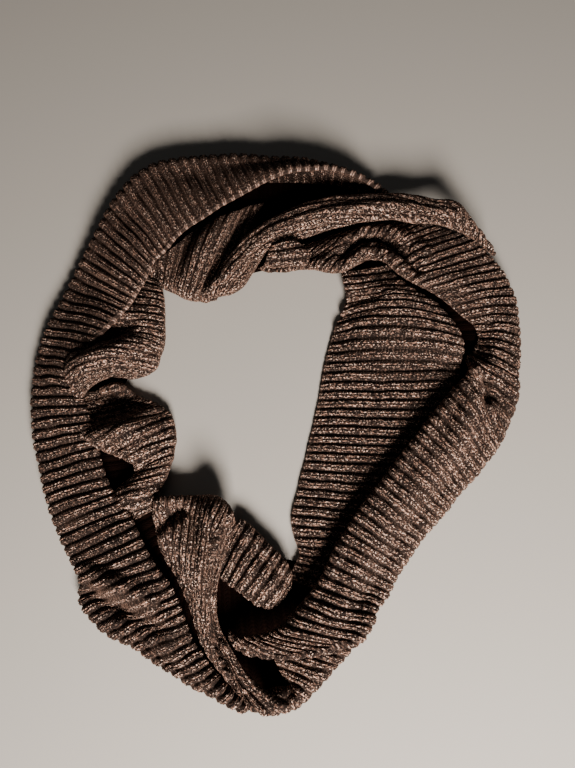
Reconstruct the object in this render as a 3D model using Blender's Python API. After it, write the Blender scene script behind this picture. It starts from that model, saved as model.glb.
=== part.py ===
"""Infinity scarf: a loop of chunky 1x1 rib knit dropped on a flat surface in an open ring.

Frame: metres, +Z up, the surface at Z = 0, the origin at the middle of the ring's box on that surface,
+Y towards the far side of the ring and +X to the right. Sizes in the tables are millimetres.

Every stretch of cloth that shows is a wall of its own. A table gives its sections, one row for each, laid
along a rib from the stretch's outer edge to its inner edge. The wall runs smoothly through them, and its
ribs are raised in the outer points only. The layers that nothing shows share one rounded solid.
"""

from collections import namedtuple

import bpy
import numpy as np

MM = 0.001
RIB_PITCH = 9.2  # one ridge and one valley, along the strip
RIB_HEIGHT = 2.1  # a ridge over the plain wall
WALL = 2.0  # the cloth in the valley between two ribs
CROWDED = 0.75  # ribs closer than this share of their pitch stand lower
LAYER_GAP = 0.5  # the least room between two layers
SETTLES_FROM = 8.0  # cloth lower than this keeps more of its height when a stretch settles
TUCK = 5.0  # how far a rolled edge comes back under itself
ROLL_WIDTH = 0.6  # half width of a rolled edge over its depth
FLOOR = 99.0  # a roll this deep ends flat on the floor
COST_OF_TURN = 9.0  # millimetres of cloth that one radian of roll counts as, when points are spread
CELL = 2.0  # grid of the height maps that layers are draped over
HALF_MAP = 280.0  # half side of those maps

# One section: its outer edge (ox, oy), the cloth's height oz there and the depth of its roll, the same
# for the inner edge, the height mz half-way, and the sideways bow of the rib to its left.
Section = namedtuple("Section", "ox oy oz roll_o ix iy iz roll_i mz bow")
# A soft ridge (rise > 0) or trough along a line on the cloth.
Crease = namedtuple("Crease", "x0 y0 x1 y1 half_width rise")
# A stretch: points across its wall, its sections and creases, the stretches that it lies on, and how far
# it settles once it lies on them.
Stretch = namedtuple("Stretch", "name across sections creases over settle")
# One section of the hidden layers, between the outside and the inside of the ring.
Core = namedtuple("Core", "ox oy ix iy height")

LEFT_BAND = Stretch(
    "left_band",
    8,
    [
        Section(108, 208, 12, FLOOR, 105, 206, 13, 0, 13, 0),
        Section(98, 214, 16, FLOOR, 95, 210, 18, 0, 17, 0),
        Section(80, 223, 21, FLOOR, 78, 217, 26, 0, 24, 0),
        Section(58, 231, 25, FLOOR, 57, 223, 31, 0, 28, 0),
        Section(34, 238, 26, FLOOR, 36, 223, 33, 0, 30, 0),
        Section(8, 244, 25, FLOOR, 13, 219, 34, 0, 31, 0),
        Section(-20, 247, 24, FLOOR, -8, 211, 34, 0, 31, 0),
        Section(-50, 248, 23, FLOOR, -30, 199, 33, 0, 30, 0),
        Section(-78, 246, 22, FLOOR, -51, 187, 31, 0, 28, 0),
        Section(-104, 243, 21, FLOOR, -70, 174, 30, 0, 27, 0),
        Section(-124, 238, 20, FLOOR, -85, 165, 29, 0, 26, 0),
        Section(-142, 226, 20, FLOOR, -97, 154, 28, 0, 25, 0),
        Section(-156, 208, 19, FLOOR, -108, 142, 27, 0, 25, 0),
        Section(-168, 186, 18, FLOOR, -117, 130, 26, 0, 24, 0),
        Section(-178, 163, 18, FLOOR, -125, 117, 26, 0, 24, 0),
        Section(-186, 143, 17, FLOOR, -131, 106, 26, 0, 24, 0),
        Section(-194, 123, 17, FLOOR, -138, 95, 26, 0, 23, 0),
        Section(-204, 99, 16, FLOOR, -147, 82, 26, 0, 23, 0),
        Section(-212, 80, 16, FLOOR, -158, 70, 26, 0, 22, 0),
        Section(-218, 62, 16, FLOOR, -172, 56, 24, 0, 21, 0),
        Section(-222, 44, 16, FLOOR, -183, 42, 22, 0, 20, 0),
        Section(-224, 24, 16, FLOOR, -186, 24, 19, 0, 20, 0),
        Section(-223, 5, 16, FLOOR, -178, 5, 19, 0, 20, 0),
        Section(-221, -15, 16, FLOOR, -172, -11, 20, 0, 20, 0),
        Section(-218, -35, 16, FLOOR, -166, -27, 20, 0, 20, 0),
        Section(-212, -55, 16, FLOOR, -157, -43, 19, 3, 20, 0),
        Section(-206, -74, 16, FLOOR, -149, -60, 18, 4, 20, 0),
        Section(-200, -91, 16, FLOOR, -142, -75, 17, 5, 20, 0),
        Section(-194, -107, 16, FLOOR, -132, -91, 17, 5, 20, 0),
        Section(-187, -122, 16, FLOOR, -125, -104, 18, 5, 21, 0),
        Section(-179, -135, 16, FLOOR, -119, -115, 19, 6, 22, 0),
        Section(-172, -145, 17, FLOOR, -113, -125, 20, 7, 24, 0),
        Section(-168, -155, 15, FLOOR, -108, -134, 20, 7, 23, 0),
        Section(-164, -166, 13, FLOOR, -100, -145, 19, 7, 22, 0),
        Section(-157, -176, 12, FLOOR, -92, -155, 18, 6, 20, 0),
        Section(-147, -186, 12, FLOOR, -87, -166, 17, 6, 19, 0),
        Section(-134, -196, 12, FLOOR, -82, -177, 17, 6, 18, 0),
        Section(-120, -206, 12, FLOOR, -77, -189, 16, 5, 18, 0),
        Section(-105, -216, 12, FLOOR, -72, -201, 15, 5, 17, 0),
        Section(-89, -225, 12, FLOOR, -65, -213, 14, 5, 15, 0),
        Section(-72, -234, 11, FLOOR, -57, -225, 12, 4, 13, 0),
        Section(-54, -242, 10, FLOOR, -47, -236, 10, 3, 11, 0),
        Section(-39, -247, 8, FLOOR, -37, -244, 7, 2, 8, 0),
    ],
    [
        Crease(-170, -147, -108, -163, 13, 4),
        Crease(-162, -163, -128, -172, 10, -5),
        Crease(-130, -185, -100, -192, 10, -4),
        Crease(-205, -120, -140, -100, 9, -2),
        Crease(-200, -30, -180, -80, 14, -2),
        Crease(-150, 185, -110, 150, 16, -3),
        Crease(-85, 225, -60, 200, 16, -2),
    ],
    ["upper_left_folds", "upper_lobe", "lower_lobe"],
    0.2,
)

UPPER_LOBE = Stretch(
    "upper_lobe",
    8,
    [
        Section(-146, 114, 6, 0, -113, 101, 7, FLOOR, 7, 0),
        Section(-154, 104, 8, 0, -107, 93, 13, FLOOR, 11, 0),
        Section(-162, 92, 8, 0, -104, 84, 16, FLOOR, 11, 0),
        Section(-172, 76, 6, 0, -103, 70, 17, FLOOR, 8, 0),
        Section(-182, 60, 6, 0, -101, 56, 18, FLOOR, 10, 0),
        Section(-190, 46, 8, 0, -101, 46, 19, FLOOR, 18, 0),
        Section(-193, 34, 13, 0, -103, 38, 20, FLOOR, 25, 3),
        Section(-192, 24, 14, 0, -109, 33, 19, FLOOR, 26, 6),
        Section(-187, 16, 14, 0, -114, 28, 17, FLOOR, 22, 7),
        Section(-182, 10, 12, 0, -119, 23, 12, FLOOR, 14, 7),
        Section(-179, 7, 9, 0, -123, 20, 9, 5, 10, 7),
    ],
    [],
    ["hidden_layers", "lower_lobe"],
    0.1,
)

LOWER_LOBE = Stretch(
    "lower_lobe",
    9,
    [
        Section(-180, 6, 5, 0, -135, 19, 5, 0, 5, 0),
        Section(-181, -2, 8, 0, -133, 13, 5, 0, 8, 0),
        Section(-180, -12, 11, 0, -130, 8, 6, 0, 11, 0),
        Section(-176, -22, 12, 3, -125, 5, 8, 4, 13, 0),
        Section(-168, -31, 12, 4, -118, 6, 9, 6, 15, 0),
        Section(-159, -40, 15, 7, -111, 5, 10, FLOOR, 18, 0),
        Section(-149, -47, 18, 10, -104, 2, 12, FLOOR, 20, 0),
        Section(-138, -51, 23, 15, -98, -4, 14, FLOOR, 21, 0),
        Section(-129, -54, 22, 14, -94, -12, 16, FLOOR, 21, 0),
        Section(-122, -57, 21, 12, -91, -22, 17, FLOOR, 21, 0),
        Section(-120, -62, 18, 9, -90, -33, 18, FLOOR, 20, 0),
        Section(-128, -71, 14, 5, -91, -43, 18, FLOOR, 18, 0),
        Section(-141, -82, 11, 2, -94, -53, 17, FLOOR, 16, 0),
        Section(-149, -92, 10, 0, -97, -63, 16, FLOOR, 15, 0),
        Section(-147, -101, 10, 0, -101, -73, 15, FLOOR, 16, 0),
        Section(-142, -109, 10, 0, -106, -84, 14, FLOOR, 16, 0),
        Section(-136, -116, 8, 0, -110, -95, 11, FLOOR, 12, 0),
        Section(-131, -121, 4, 0, -114, -104, 5, 3, 6, 0),
    ],
    [
        Crease(-156, 9, -136, 13, 7, 6),
    ],
    ["hidden_layers"],
    0.1,
)

TENT_LOBE = Stretch(
    "tent_lobe",
    8,
    [
        Section(-51, -140, 7, 0, -34, -103, 10, 4, 10, 0),
        Section(-48, -150, 11, 5, -26, -107, 15, FLOOR, 15, 0),
        Section(-41, -156, 15, 8, -17, -115, 17, FLOOR, 19, 0),
        Section(-33, -161, 18, 11, -8, -124, 17, FLOOR, 22, 0),
        Section(-24, -168, 19, 12, 1, -132, 17, FLOOR, 23, 0),
        Section(-15, -173, 19, 12, 8, -140, 16, FLOOR, 22, 0),
        Section(-6, -174, 17, 10, 11, -149, 13, FLOOR, 18, 0),
        Section(2, -170, 9, 5, 10, -159, 8, 5, 9, 0),
    ],
    [],
    ["hidden_layers"],
    1.8,
)

CENTRE_TENT = Stretch(
    "centre_tent",
    14,
    [
        Section(-104, -84, 9, 5, -101, -128, 8, 3, 11, -2),
        Section(-96, -82, 15, FLOOR, -96, -138, 13, 8, 17, -2),
        Section(-86, -80, 22, FLOOR, -86, -150, 17, 11, 23, -2),
        Section(-76, -79, 28, FLOOR, -79, -168, 19, 12, 28, -3),
        Section(-66, -78, 33, FLOOR, -69, -189, 19, 12, 31, -4),
        Section(-57, -78, 36, FLOOR, -53, -218, 18, 11, 33, -11),
        Section(-48, -80, 36, FLOOR, -30, -238, 15, 10, 33, -22),
        Section(-41, -86, 33, FLOOR, -6, -247, 12, 9, 31, -32),
        Section(-36, -93, 28, FLOOR, 12, -248, 9, 6, 25, -38),
        Section(-34, -97, 19, 9, 22, -243, 4, 2, 14, -42),
    ],
    [
        Crease(-92, -95, -86, -140, 12, -3),
    ],
    ["hidden_layers", "tent_lobe", "lower_lobe", "bottom_under_layer"],
    0.8,
)

BOTTOM_UNDER_LAYER = Stretch(
    "bottom_under_layer",
    7,
    [
        Section(62, -203, 13, FLOOR, 40, -182, 8, 0, 13, 0),
        Section(54, -211, 12, FLOOR, 27, -187, 7, 0, 12, 0),
        Section(46, -219, 12, FLOOR, 13, -193, 6, 0, 11, 0),
        Section(38, -227, 12, FLOOR, 2, -201, 5, 0, 11, 0),
        Section(30, -234, 12, FLOOR, 1, -212, 5, 0, 10, 0),
        Section(22, -240, 11, FLOOR, 3, -224, 5, 0, 9, 0),
        Section(13, -245, 9, FLOOR, -2, -236, 6, 0, 8, 0),
    ],
    [],
    ["hidden_layers"],
    0.1,
)

RIGHT_INNER_PANEL = Stretch(
    "right_inner_panel",
    8,
    [
        Section(98, 129, 5, 0, 61, 122, 7, 4, 7, 0),
        Section(116, 117, 9, 4, 62, 113, 8, 5, 10, 0),
        Section(134, 103, 14, 8, 63, 104, 7, 4, 14, -3),
        Section(149, 89, 18, 12, 62, 95, 6, 3, 18, -6),
        Section(159, 76, 20, 14, 58, 85, 5, 2, 19, -8),
        Section(165, 65, 21, 15, 53, 75, 4, 1, 19, -8),
        Section(167, 56, 20, 14, 49, 64, 1, 0, 17, -6),
        Section(168, 48, 18, 12, 46, 53, 1, 0, 15, -4),
        Section(167, 39, 12, 6, 44, 42, 1, 0, 12, -2),
        Section(165, 29, 10, 0, 41, 30, 1, 0, 10, 0),
        Section(160, 16, 9, 0, 39, 17, 1, 0, 10, 0),
        Section(153, 2, 9, 0, 37, 4, 1, 0, 10, 0),
        Section(146, -13, 9, 0, 34, -9, 1, 0, 10, 0),
        Section(137, -28, 9, 0, 31, -23, 1, 0, 10, 0),
        Section(126, -43, 9, 0, 27, -38, 1, 0, 10, 0),
        Section(115, -58, 9, 0, 24, -52, 1, 0, 10, 0),
        Section(104, -72, 9, 0, 20, -66, 1, 0, 10, 0),
        Section(93, -86, 9, 0, 17, -80, 1, 0, 10, 0),
        Section(82, -100, 9, 0, 13, -94, 1, 0, 10, 0),
        Section(71, -113, 9, 0, 12, -107, 1, 0, 9, 0),
        Section(61, -125, 9, 0, 15, -120, 1, 0, 8, 0),
        Section(52, -137, 8, 0, 20, -133, 1, 0, 6, 0),
    ],
    [
        Crease(64, 90, 92, 92, 10, -4),
        Crease(60, 76, 80, 74, 9, -2),
    ],
    ["hidden_layers"],
    0.8,
)

TURNED_CORNER = Stretch(
    "turned_corner",
    6,
    [
        Section(-8, 143, 13, 0, 14, 148, 15, 0, 16, 0),
        Section(-9, 137, 15, 0, 25, 140, 15, 0, 17, 0),
        Section(-10, 131, 14, 0, 31, 132, 14, 0, 16, 0),
        Section(-11, 125, 11, 0, 32, 126, 12, 0, 13, 0),
        Section(-11, 121, 5, 0, 32, 123, 6, 0, 6, 0),
    ],
    [],
    ["hidden_layers", "right_band"],
    0.9,
)

UPPER_LEFT_FOLDS = Stretch(
    "upper_left_folds",
    8,
    [
        Section(-108, 146, 11, 0, -113, 114, 5, 3, 10, 0),
        Section(-99, 158, 15, 0, -108, 106, 12, FLOOR, 16, 0),
        Section(-89, 168, 16, 0, -101, 103, 14, FLOOR, 18, 0),
        Section(-79, 177, 16, 0, -94, 100, 15, FLOOR, 19, 0),
        Section(-68, 186, 16, 0, -87, 97, 15, FLOOR, 20, 0),
        Section(-56, 194, 13, 0, -80, 94, 15, FLOOR, 20, 0),
        Section(-43, 200, 11, 0, -74, 93, 14, FLOOR, 18, 0),
        Section(-30, 202, 10, 0, -69, 94, 12, FLOOR, 14, 0),
        Section(-20, 199, 9, 0, -65, 98, 7, 4, 8, 0),
    ],
    [
        Crease(-68, 168, -88, 146, 13, -7),
        Crease(-88, 146, -102, 122, 12, -5),
        Crease(-58, 178, -84, 104, 11, 3),
    ],
    ["hidden_layers"],
    0.0,
)

TOP_ROLL = Stretch(
    "top_roll",
    9,
    [
        Section(195, 156, 7, 4, 191, 154, 7, 3, 8, 0),
        Section(191, 164, 15, FLOOR, 183, 155, 15, 5, 17, 0),
        Section(186, 172, 19, FLOOR, 176, 157, 19, 5, 22, 0),
        Section(179, 180, 21, FLOOR, 167, 160, 21, 6, 25, 0),
        Section(167, 190, 22, FLOOR, 153, 166, 21, 6, 26, 0),
        Section(151, 198, 22, FLOOR, 138, 171, 21, 6, 27, 0),
        Section(135, 202, 22, FLOOR, 122, 175, 21, 6, 27, 0),
        Section(119, 204, 22, FLOOR, 106, 177, 21, 6, 27, 0),
        Section(103, 204, 22, FLOOR, 90, 176, 21, 6, 27, 0),
        Section(86, 204, 22, FLOOR, 74, 174, 21, 6, 27, 0),
        Section(69, 202, 22, 15, 58, 171, 21, 6, 27, 0),
        Section(53, 200, 22, 15, 42, 168, 21, 7, 26, 0),
        Section(38, 198, 22, 15, 28, 164, 20, 7, 26, 0),
        Section(24, 195, 21, 14, 15, 160, 20, 7, 25, 0),
        Section(11, 191, 20, 13, 3, 154, 19, 8, 24, 0),
        Section(0, 186, 20, 13, -8, 146, 18, 10, 23, 0),
        Section(-9, 179, 20, 14, -16, 134, 17, 15, 22, 0),
        Section(-17, 171, 20, 14, -25, 121, 15, FLOOR, 21, 0),
        Section(-25, 162, 19, 13, -34, 111, 15, FLOOR, 21, 0),
        Section(-33, 151, 19, 13, -42, 100, 14, FLOOR, 20, 0),
        Section(-41, 140, 18, 12, -50, 95, 14, FLOOR, 19, 0),
        Section(-49, 128, 17, 11, -57, 93, 13, FLOOR, 18, 0),
        Section(-57, 115, 14, 9, -63, 93, 10, FLOOR, 13, 0),
        Section(-63, 105, 8, 4, -67, 94, 6, 3, 8, 0),
    ],
    [],
    ["hidden_layers", "right_band", "upper_left_folds"],
    0.8,
)

RIGHT_BAND = Stretch(
    "right_band",
    9,
    [
        Section(57, -204, 10, 6, -30, -204, 9, 4, 11, 6),
        Section(60, -202, 16, FLOOR, -34, -200, 15, 6, 20, 6),
        Section(64, -197, 20, FLOOR, -33, -193, 20, 8, 27, 4),
        Section(67, -192, 21, FLOOR, -21, -189, 23, 12, 29, 2),
        Section(72, -186, 21, FLOOR, -3, -184, 24, 13, 29, 0),
        Section(76, -180, 20, FLOOR, 13, -174, 25, 13, 29, 0),
        Section(81, -173, 20, FLOOR, 26, -159, 26, 13, 29, 0),
        Section(87, -165, 20, FLOOR, 38, -143, 27, 13, 29, 0),
        Section(95, -154, 20, FLOOR, 48, -128, 27, 13, 29, 0),
        Section(103, -142, 20, FLOOR, 58, -112, 27, 13, 29, 0),
        Section(112, -130, 21, FLOOR, 69, -96, 27, 13, 29, 0),
        Section(122, -118, 21, FLOOR, 80, -81, 27, 13, 29, 0),
        Section(133, -105, 21, FLOOR, 91, -67, 27, 13, 29, 0),
        Section(145, -91, 21, FLOOR, 102, -52, 27, 13, 29, 0),
        Section(158, -78, 21, FLOOR, 114, -37, 27, 13, 29, 0),
        Section(171, -65, 21, FLOOR, 126, -22, 27, 13, 29, 0),
        Section(183, -53, 21, FLOOR, 139, -8, 27, 13, 29, 0),
        Section(193, -41, 21, FLOOR, 150, 6, 27, 13, 29, 0),
        Section(201, -28, 20, FLOOR, 160, 17, 26, 13, 28, 0),
        Section(207, -15, 20, FLOOR, 167, 26, 25, 12, 25, 0),
        Section(212, -2, 19, FLOOR, 171, 33, 24, 11, 22, 0),
        Section(216, 12, 19, FLOOR, 172, 39, 24, 11, 20, 0),
        Section(219, 27, 19, FLOOR, 170, 45, 23, 11, 21, 0),
        Section(221, 42, 19, FLOOR, 170, 53, 17, 9, 21, 0),
        Section(223, 57, 19, FLOOR, 171, 62, 14, 8, 21, 0),
        Section(223, 72, 19, FLOOR, 168, 71, 13, 8, 21, 0),
        Section(224, 86, 19, FLOOR, 164, 79, 14, 9, 21, 0),
        Section(223, 100, 19, FLOOR, 159, 87, 15, 10, 21, 0),
        Section(220, 113, 18, FLOOR, 151, 94, 16, 11, 21, 0),
        Section(214, 125, 18, FLOOR, 140, 99, 18, 12, 21, 0),
        Section(207, 136, 17, FLOOR, 129, 103, 19, 13, 21, 0),
        Section(199, 145, 15, FLOOR, 119, 108, 20, 14, 21, 0),
        Section(189, 151, 12, 7, 110, 114, 20, 8, 20, 0),
        Section(180, 156, 10, 3, 103, 121, 19, 6, 19, 0),
        Section(172, 161, 9, 0, 98, 128, 18, 5, 18, 0),
        Section(164, 167, 9, 0, 91, 132, 17, 4, 18, 0),
        Section(155, 172, 9, 0, 83, 132, 17, 4, 17, 0),
        Section(146, 175, 9, 0, 75, 130, 17, 4, 17, 0),
        Section(136, 177, 9, 0, 67, 127, 16, 5, 17, 0),
        Section(126, 178, 9, 0, 59, 124, 15, 10, 17, 0),
        Section(115, 178, 9, 0, 51, 124, 14, FLOOR, 16, 0),
        Section(104, 177, 9, 0, 43, 126, 13, FLOOR, 16, 0),
        Section(93, 175, 9, 0, 35, 128, 11, FLOOR, 15, 0),
        Section(82, 173, 9, 0, 27, 129, 9, FLOOR, 14, 0),
        Section(71, 171, 9, 0, 19, 128, 7, FLOOR, 13, 0),
        Section(60, 168, 9, 0, 11, 127, 7, FLOOR, 12, 0),
        Section(50, 165, 9, 0, 4, 126, 6, FLOOR, 10, 0),
        Section(41, 162, 7, 0, -2, 126, 4, 2, 7, 0),
    ],
    [
        Crease(56, 139, 66, 147, 9, -8),
        Crease(66, 147, 77, 155, 10, -9),
        Crease(77, 155, 94, 157, 10, -10),
        Crease(94, 157, 106, 152, 10, -9),
        Crease(106, 152, 116, 143, 10, -8),
        Crease(116, 143, 130, 130, 9, -6),
        Crease(168, 41, 194, 16, 8, 6),
        Crease(178, 23, 186, 5, 10, -10),
        Crease(168, 14, 158, -40, 12, 3),
        Crease(176, 50, 180, 74, 12, -4),
    ],
    ["hidden_layers", "right_inner_panel", "bottom_under_layer"],
    0.9,
)

# The stretches in the order in which they are laid down, the lowest first.
STRETCHES = [
    RIGHT_INNER_PANEL,
    BOTTOM_UNDER_LAYER,
    LOWER_LOBE,
    UPPER_LOBE,
    TENT_LOBE,
    CENTRE_TENT,
    UPPER_LEFT_FOLDS,
    RIGHT_BAND,
    TURNED_CORNER,
    TOP_ROLL,
    LEFT_BAND,
]

HIDDEN_LAYERS = [
    Core(-20, 226, -8, 160, 10),
    Core(40, 218, 32, 158, 10),
    Core(84, 202, 74, 158, 10),
    Core(122, 184, 90, 146, 10),
    Core(158, 160, 98, 124, 8),
    Core(186, 128, 94, 100, 7),
    Core(198, 90, 86, 74, 7),
    Core(199, 50, 74, 46, 7),
    Core(190, 10, 64, 10, 7),
    Core(168, -35, 54, -25, 7),
    Core(133, -75, 46, -62, 7),
    Core(98, -112, 40, -98, 7),
    Core(72, -152, 30, -132, 6),
    Core(46, -192, 14, -146, 6),
    Core(16, -226, -6, -146, 6),
    Core(-22, -230, -36, -144, 6),
    Core(-74, -208, -54, -170, 5),
    Core(-120, -182, -82, -140, 5),
    Core(-148, -148, -94, -110, 5),
    Core(-172, -110, -118, -86, 5),
    Core(-186, -70, -120, -58, 6),
    Core(-197, -25, -126, -26, 5),
    Core(-200, 15, -146, 12, 3),
    Core(-196, 50, -128, 48, 5),
    Core(-182, 95, -128, 86, 5),
    Core(-162, 145, -128, 122, 8),
    Core(-138, 190, -98, 130, 9),
    Core(-100, 216, -66, 124, 9),
]
CORE_ACROSS = 9  # points over the top of the hidden layers

BROWN_HEATHER = (0.16, 0.085, 0.06)
SHADED_BROWN = (0.11, 0.06, 0.045)


def through(knots, at, positions):
    """The columns of knots, known at the places at, read smoothly at the positions."""
    slopes = np.gradient(knots, at, axis=0)
    k = np.clip(np.searchsorted(at, positions, side="right") - 1, 0, len(at) - 2)
    span = (at[k + 1] - at[k])[:, None]
    t = (positions[:, None] - at[k][:, None]) / span
    start, end = knots[k], knots[k + 1]
    return (
        (1 + 2 * t) * (1 - t) ** 2 * start
        + t * (1 - t) ** 2 * span * slopes[k]
        + t * t * (3 - 2 * t) * end
        + t * t * (t - 1) * span * slopes[k + 1]
    )


def eased(x):
    """0 to 1 with soft ends, for x from 0 to 1."""
    x = np.clip(x, 0, 1)
    return x * x * (3 - 2 * x)


def rows_of(stretch):
    """The stretch's sections read at each ridge and each valley, and 1 on a ridge, 0 in a valley."""
    table = np.array(stretch.sections, float)
    for height, roll in ((2, 3), (6, 7)):
        table[:, roll] = np.minimum(table[:, roll], table[:, height] - WALL / 2)
    outer, inner = table[:, [0, 1, 2]], table[:, [4, 5, 6]]
    middle = (outer + inner) / 2
    middle[:, 2] = table[:, 8]
    steps = [np.linalg.norm(np.diff(line, axis=0), axis=1) for line in (outer, middle, inner)]
    along = np.concatenate([[0], np.cumsum(np.mean(steps, axis=0))])
    ribs = max(2, round(along[-1] / RIB_PITCH))
    positions = np.linspace(0, along[-1], 2 * ribs + 1)
    ridge = np.arange(2 * ribs + 1) % 2
    return through(table, along, positions), ridge


def section_line(rows):
    """Each row's line as distances from the outer edge, heights, the pull of the creases and the cost
    of the cloth up to there, as arrays of one line for each row."""
    ox, oy, oz, roll_o, ix, iy, iz, roll_i, mz, _ = rows.T[:, :, None]
    length = np.hypot(ix - ox, iy - oy)
    sides = []
    for height, roll in ((oz, roll_o), (iz, roll_i)):
        roll = np.clip(roll, 0, height - WALL / 2)
        half = np.minimum(ROLL_WIDTH * roll, 0.42 * length)
        turn = np.linspace(0, np.pi, 17)[None, :]
        arc_s = half * (1 - np.sin(turn))
        arc_z = height - roll * (1 + np.cos(turn)) / 2
        tuck = TUCK * eased(roll / 6) * np.linspace(1, 0, 5)[None, :-1]
        tuck = np.minimum(tuck, 0.4 * length)
        s = np.concatenate([half + tuck, arc_s], axis=1)
        z = np.concatenate([height - roll + 0 * tuck, arc_z], axis=1)
        pull = np.concatenate([0 * tuck, (1 - np.cos(turn)) / 2 + 0 * half], axis=1)
        turned = np.concatenate([0 * tuck, 0 * half + (turn > 0)], axis=1) * eased(roll / 4)
        sides.append((s, z, pull, turned * np.pi / 16, half, eased(roll / 4)))
    (so, zo, po, to, ho, fo), (si, zi, pi, ti, hi, fi) = sides
    t = np.linspace(0, 1, 41)[None, 1:-1]
    s_top = ho + (length - ho - hi) * t
    free_o = (1 - fo) * (3 * (mz - oz) - (iz - mz))
    free_i = (1 - fi) * (3 * (iz - mz) - (mz - oz))
    crown = mz - (oz + iz) / 2 - (free_o - free_i) / 8
    z_top = (
        (1 + 2 * t) * (1 - t) ** 2 * oz
        + t * (1 - t) ** 2 * free_o
        + t * t * (3 - 2 * t) * iz
        + t * t * (t - 1) * free_i
        + crown * (16 * (t * (1 - t)) ** 2)
    )
    s = np.concatenate([so, s_top, (length - si)[:, ::-1]], axis=1)
    z = np.concatenate([zo, z_top, zi[:, ::-1]], axis=1)
    pull = np.concatenate([po, np.ones_like(z_top), pi[:, ::-1]], axis=1)
    turned = np.concatenate([to, 0 * z_top, ti[:, ::-1]], axis=1)
    moved = np.hypot(np.diff(s, axis=1), np.diff(z, axis=1)) + COST_OF_TURN * turned[:, 1:]
    cost = np.concatenate([np.zeros((len(s), 1)), np.cumsum(moved, axis=1)], axis=1)
    return s, z, pull, cost


def crease_rise(x, y, creases):
    """How far the creases lift the cloth at x, y."""
    rise = np.zeros_like(x)
    for c in creases:
        run = np.array([c.x1 - c.x0, c.y1 - c.y0], float)
        t = ((x - c.x0) * run[0] + (y - c.y0) * run[1]) / (run @ run)
        t = np.clip(t, 0, 1)
        away = np.hypot(x - c.x0 - t * run[0], y - c.y0 - t * run[1])
        rise += c.rise * (1 - np.clip(away / c.half_width, 0, 1) ** 2) ** 2
    return rise


def middle_grid(stretch):
    """The middle of the stretch's wall, rows by points across, before it is laid over others."""
    rows, ridge = rows_of(stretch)
    s, z, pull, cost = section_line(rows)
    grid = np.empty((len(rows), stretch.across, 3))
    for i, row in enumerate(rows):
        wanted = np.linspace(0, cost[i, -1], stretch.across)
        at_s, at_z, at_pull = (np.interp(wanted, cost[i], line[i]) for line in (s, z, pull))
        outer, inner, bow = row[0:2], row[4:6], row[9]
        length = np.hypot(*(inner - outer))
        run = (inner - outer) / length
        left = np.array([-run[1], run[0]])
        sideways = bow * 4 * (at_s / length) * (1 - at_s / length)
        grid[i, :, :2] = outer + at_s[:, None] * run + sideways[:, None] * left
        grid[i, :, 2] = at_z + at_pull * crease_rise(grid[i, :, 0], grid[i, :, 1], stretch.creases)
    return grid, ridge


def spread_up(field, reach):
    """The field with each value replaced by the greatest within reach steps."""
    for axis, steps in enumerate(reach):
        kept = field
        for step in range(1, steps + 1):
            ahead = np.roll(kept, -step, axis)
            behind = np.roll(kept, step, axis)
            edge = [slice(None)] * 2
            edge[axis] = slice(-step, None)
            ahead[tuple(edge)] = 0
            edge[axis] = slice(0, step)
            behind[tuple(edge)] = 0
            field = np.maximum(field, np.maximum(ahead, behind))
    return field


def blurred(field, times):
    """The field smoothed along each of its axes, so many times."""
    for axis in (0, 1):
        for _ in range(times[axis]):
            wide = np.pad(field, [(1, 1) if a == axis else (0, 0) for a in (0, 1)], mode="edge")
            low = np.take(wide, range(0, field.shape[axis]), axis)
            high = np.take(wide, range(2, field.shape[axis] + 2), axis)
            field = (low + 2 * field + high) / 4
    return field


def height_map(points):
    """The highest of a grid of points in each cell of a square map, spread to the cells around."""
    fine = points
    for axis in (0, 1):
        count = fine.shape[axis]
        at = np.linspace(0, count - 1, (count - 1) * 5 + 1)
        low = np.clip(at.astype(int), 0, count - 2)
        shape = [1, 1, 1]
        shape[axis] = len(at)
        share = (at - low).reshape(shape)
        fine = np.take(fine, low, axis) * (1 - share) + np.take(fine, low + 1, axis) * share
    cells = int(2 * HALF_MAP / CELL)
    tops = np.zeros((cells, cells))
    where = np.clip(((fine[..., :2] + HALF_MAP) / CELL).astype(int), 0, cells - 1)
    np.maximum.at(tops, (where[..., 0].ravel(), where[..., 1].ravel()), fine[..., 2].ravel())
    return spread_up(tops, (1, 1))


def laid_over(grid, maps):
    """The wall's middle raised softly wherever it would sink into what lies under it."""
    if not maps:
        return grid
    tops = np.max(maps, axis=0)
    where = np.clip(((grid[..., :2] + HALF_MAP) / CELL).astype(int), 0, len(tops) - 1)
    under = tops[where[..., 0], where[..., 1]]
    room = LAYER_GAP + WALL / 2 + RIB_HEIGHT * (facing(grid)[..., 2] < 0)
    short = np.where(under > 0, under + room - grid[..., 2], 0)
    short = np.maximum(short, 0)
    raised = np.maximum(short, blurred(spread_up(short, (6, 2)), (14, 4)))
    grid[..., 2] += raised
    return grid


def settled(grid, drop):
    """The wall's middle let down by the drop, with its edges on the floor left there."""
    grid[..., 2] -= drop * eased(grid[..., 2] / SETTLES_FROM)
    return grid


def facing(grid):
    """Unit vectors out of the cloth's right side."""
    across = np.gradient(grid, axis=1)
    along = np.gradient(grid, axis=0)
    out = np.cross(across, along)
    out /= np.maximum(np.linalg.norm(out, axis=2, keepdims=True), 1e-9)
    crown = out[:, grid.shape[1] // 2, 2]
    return out if crown.mean() > 0 else -out


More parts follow.
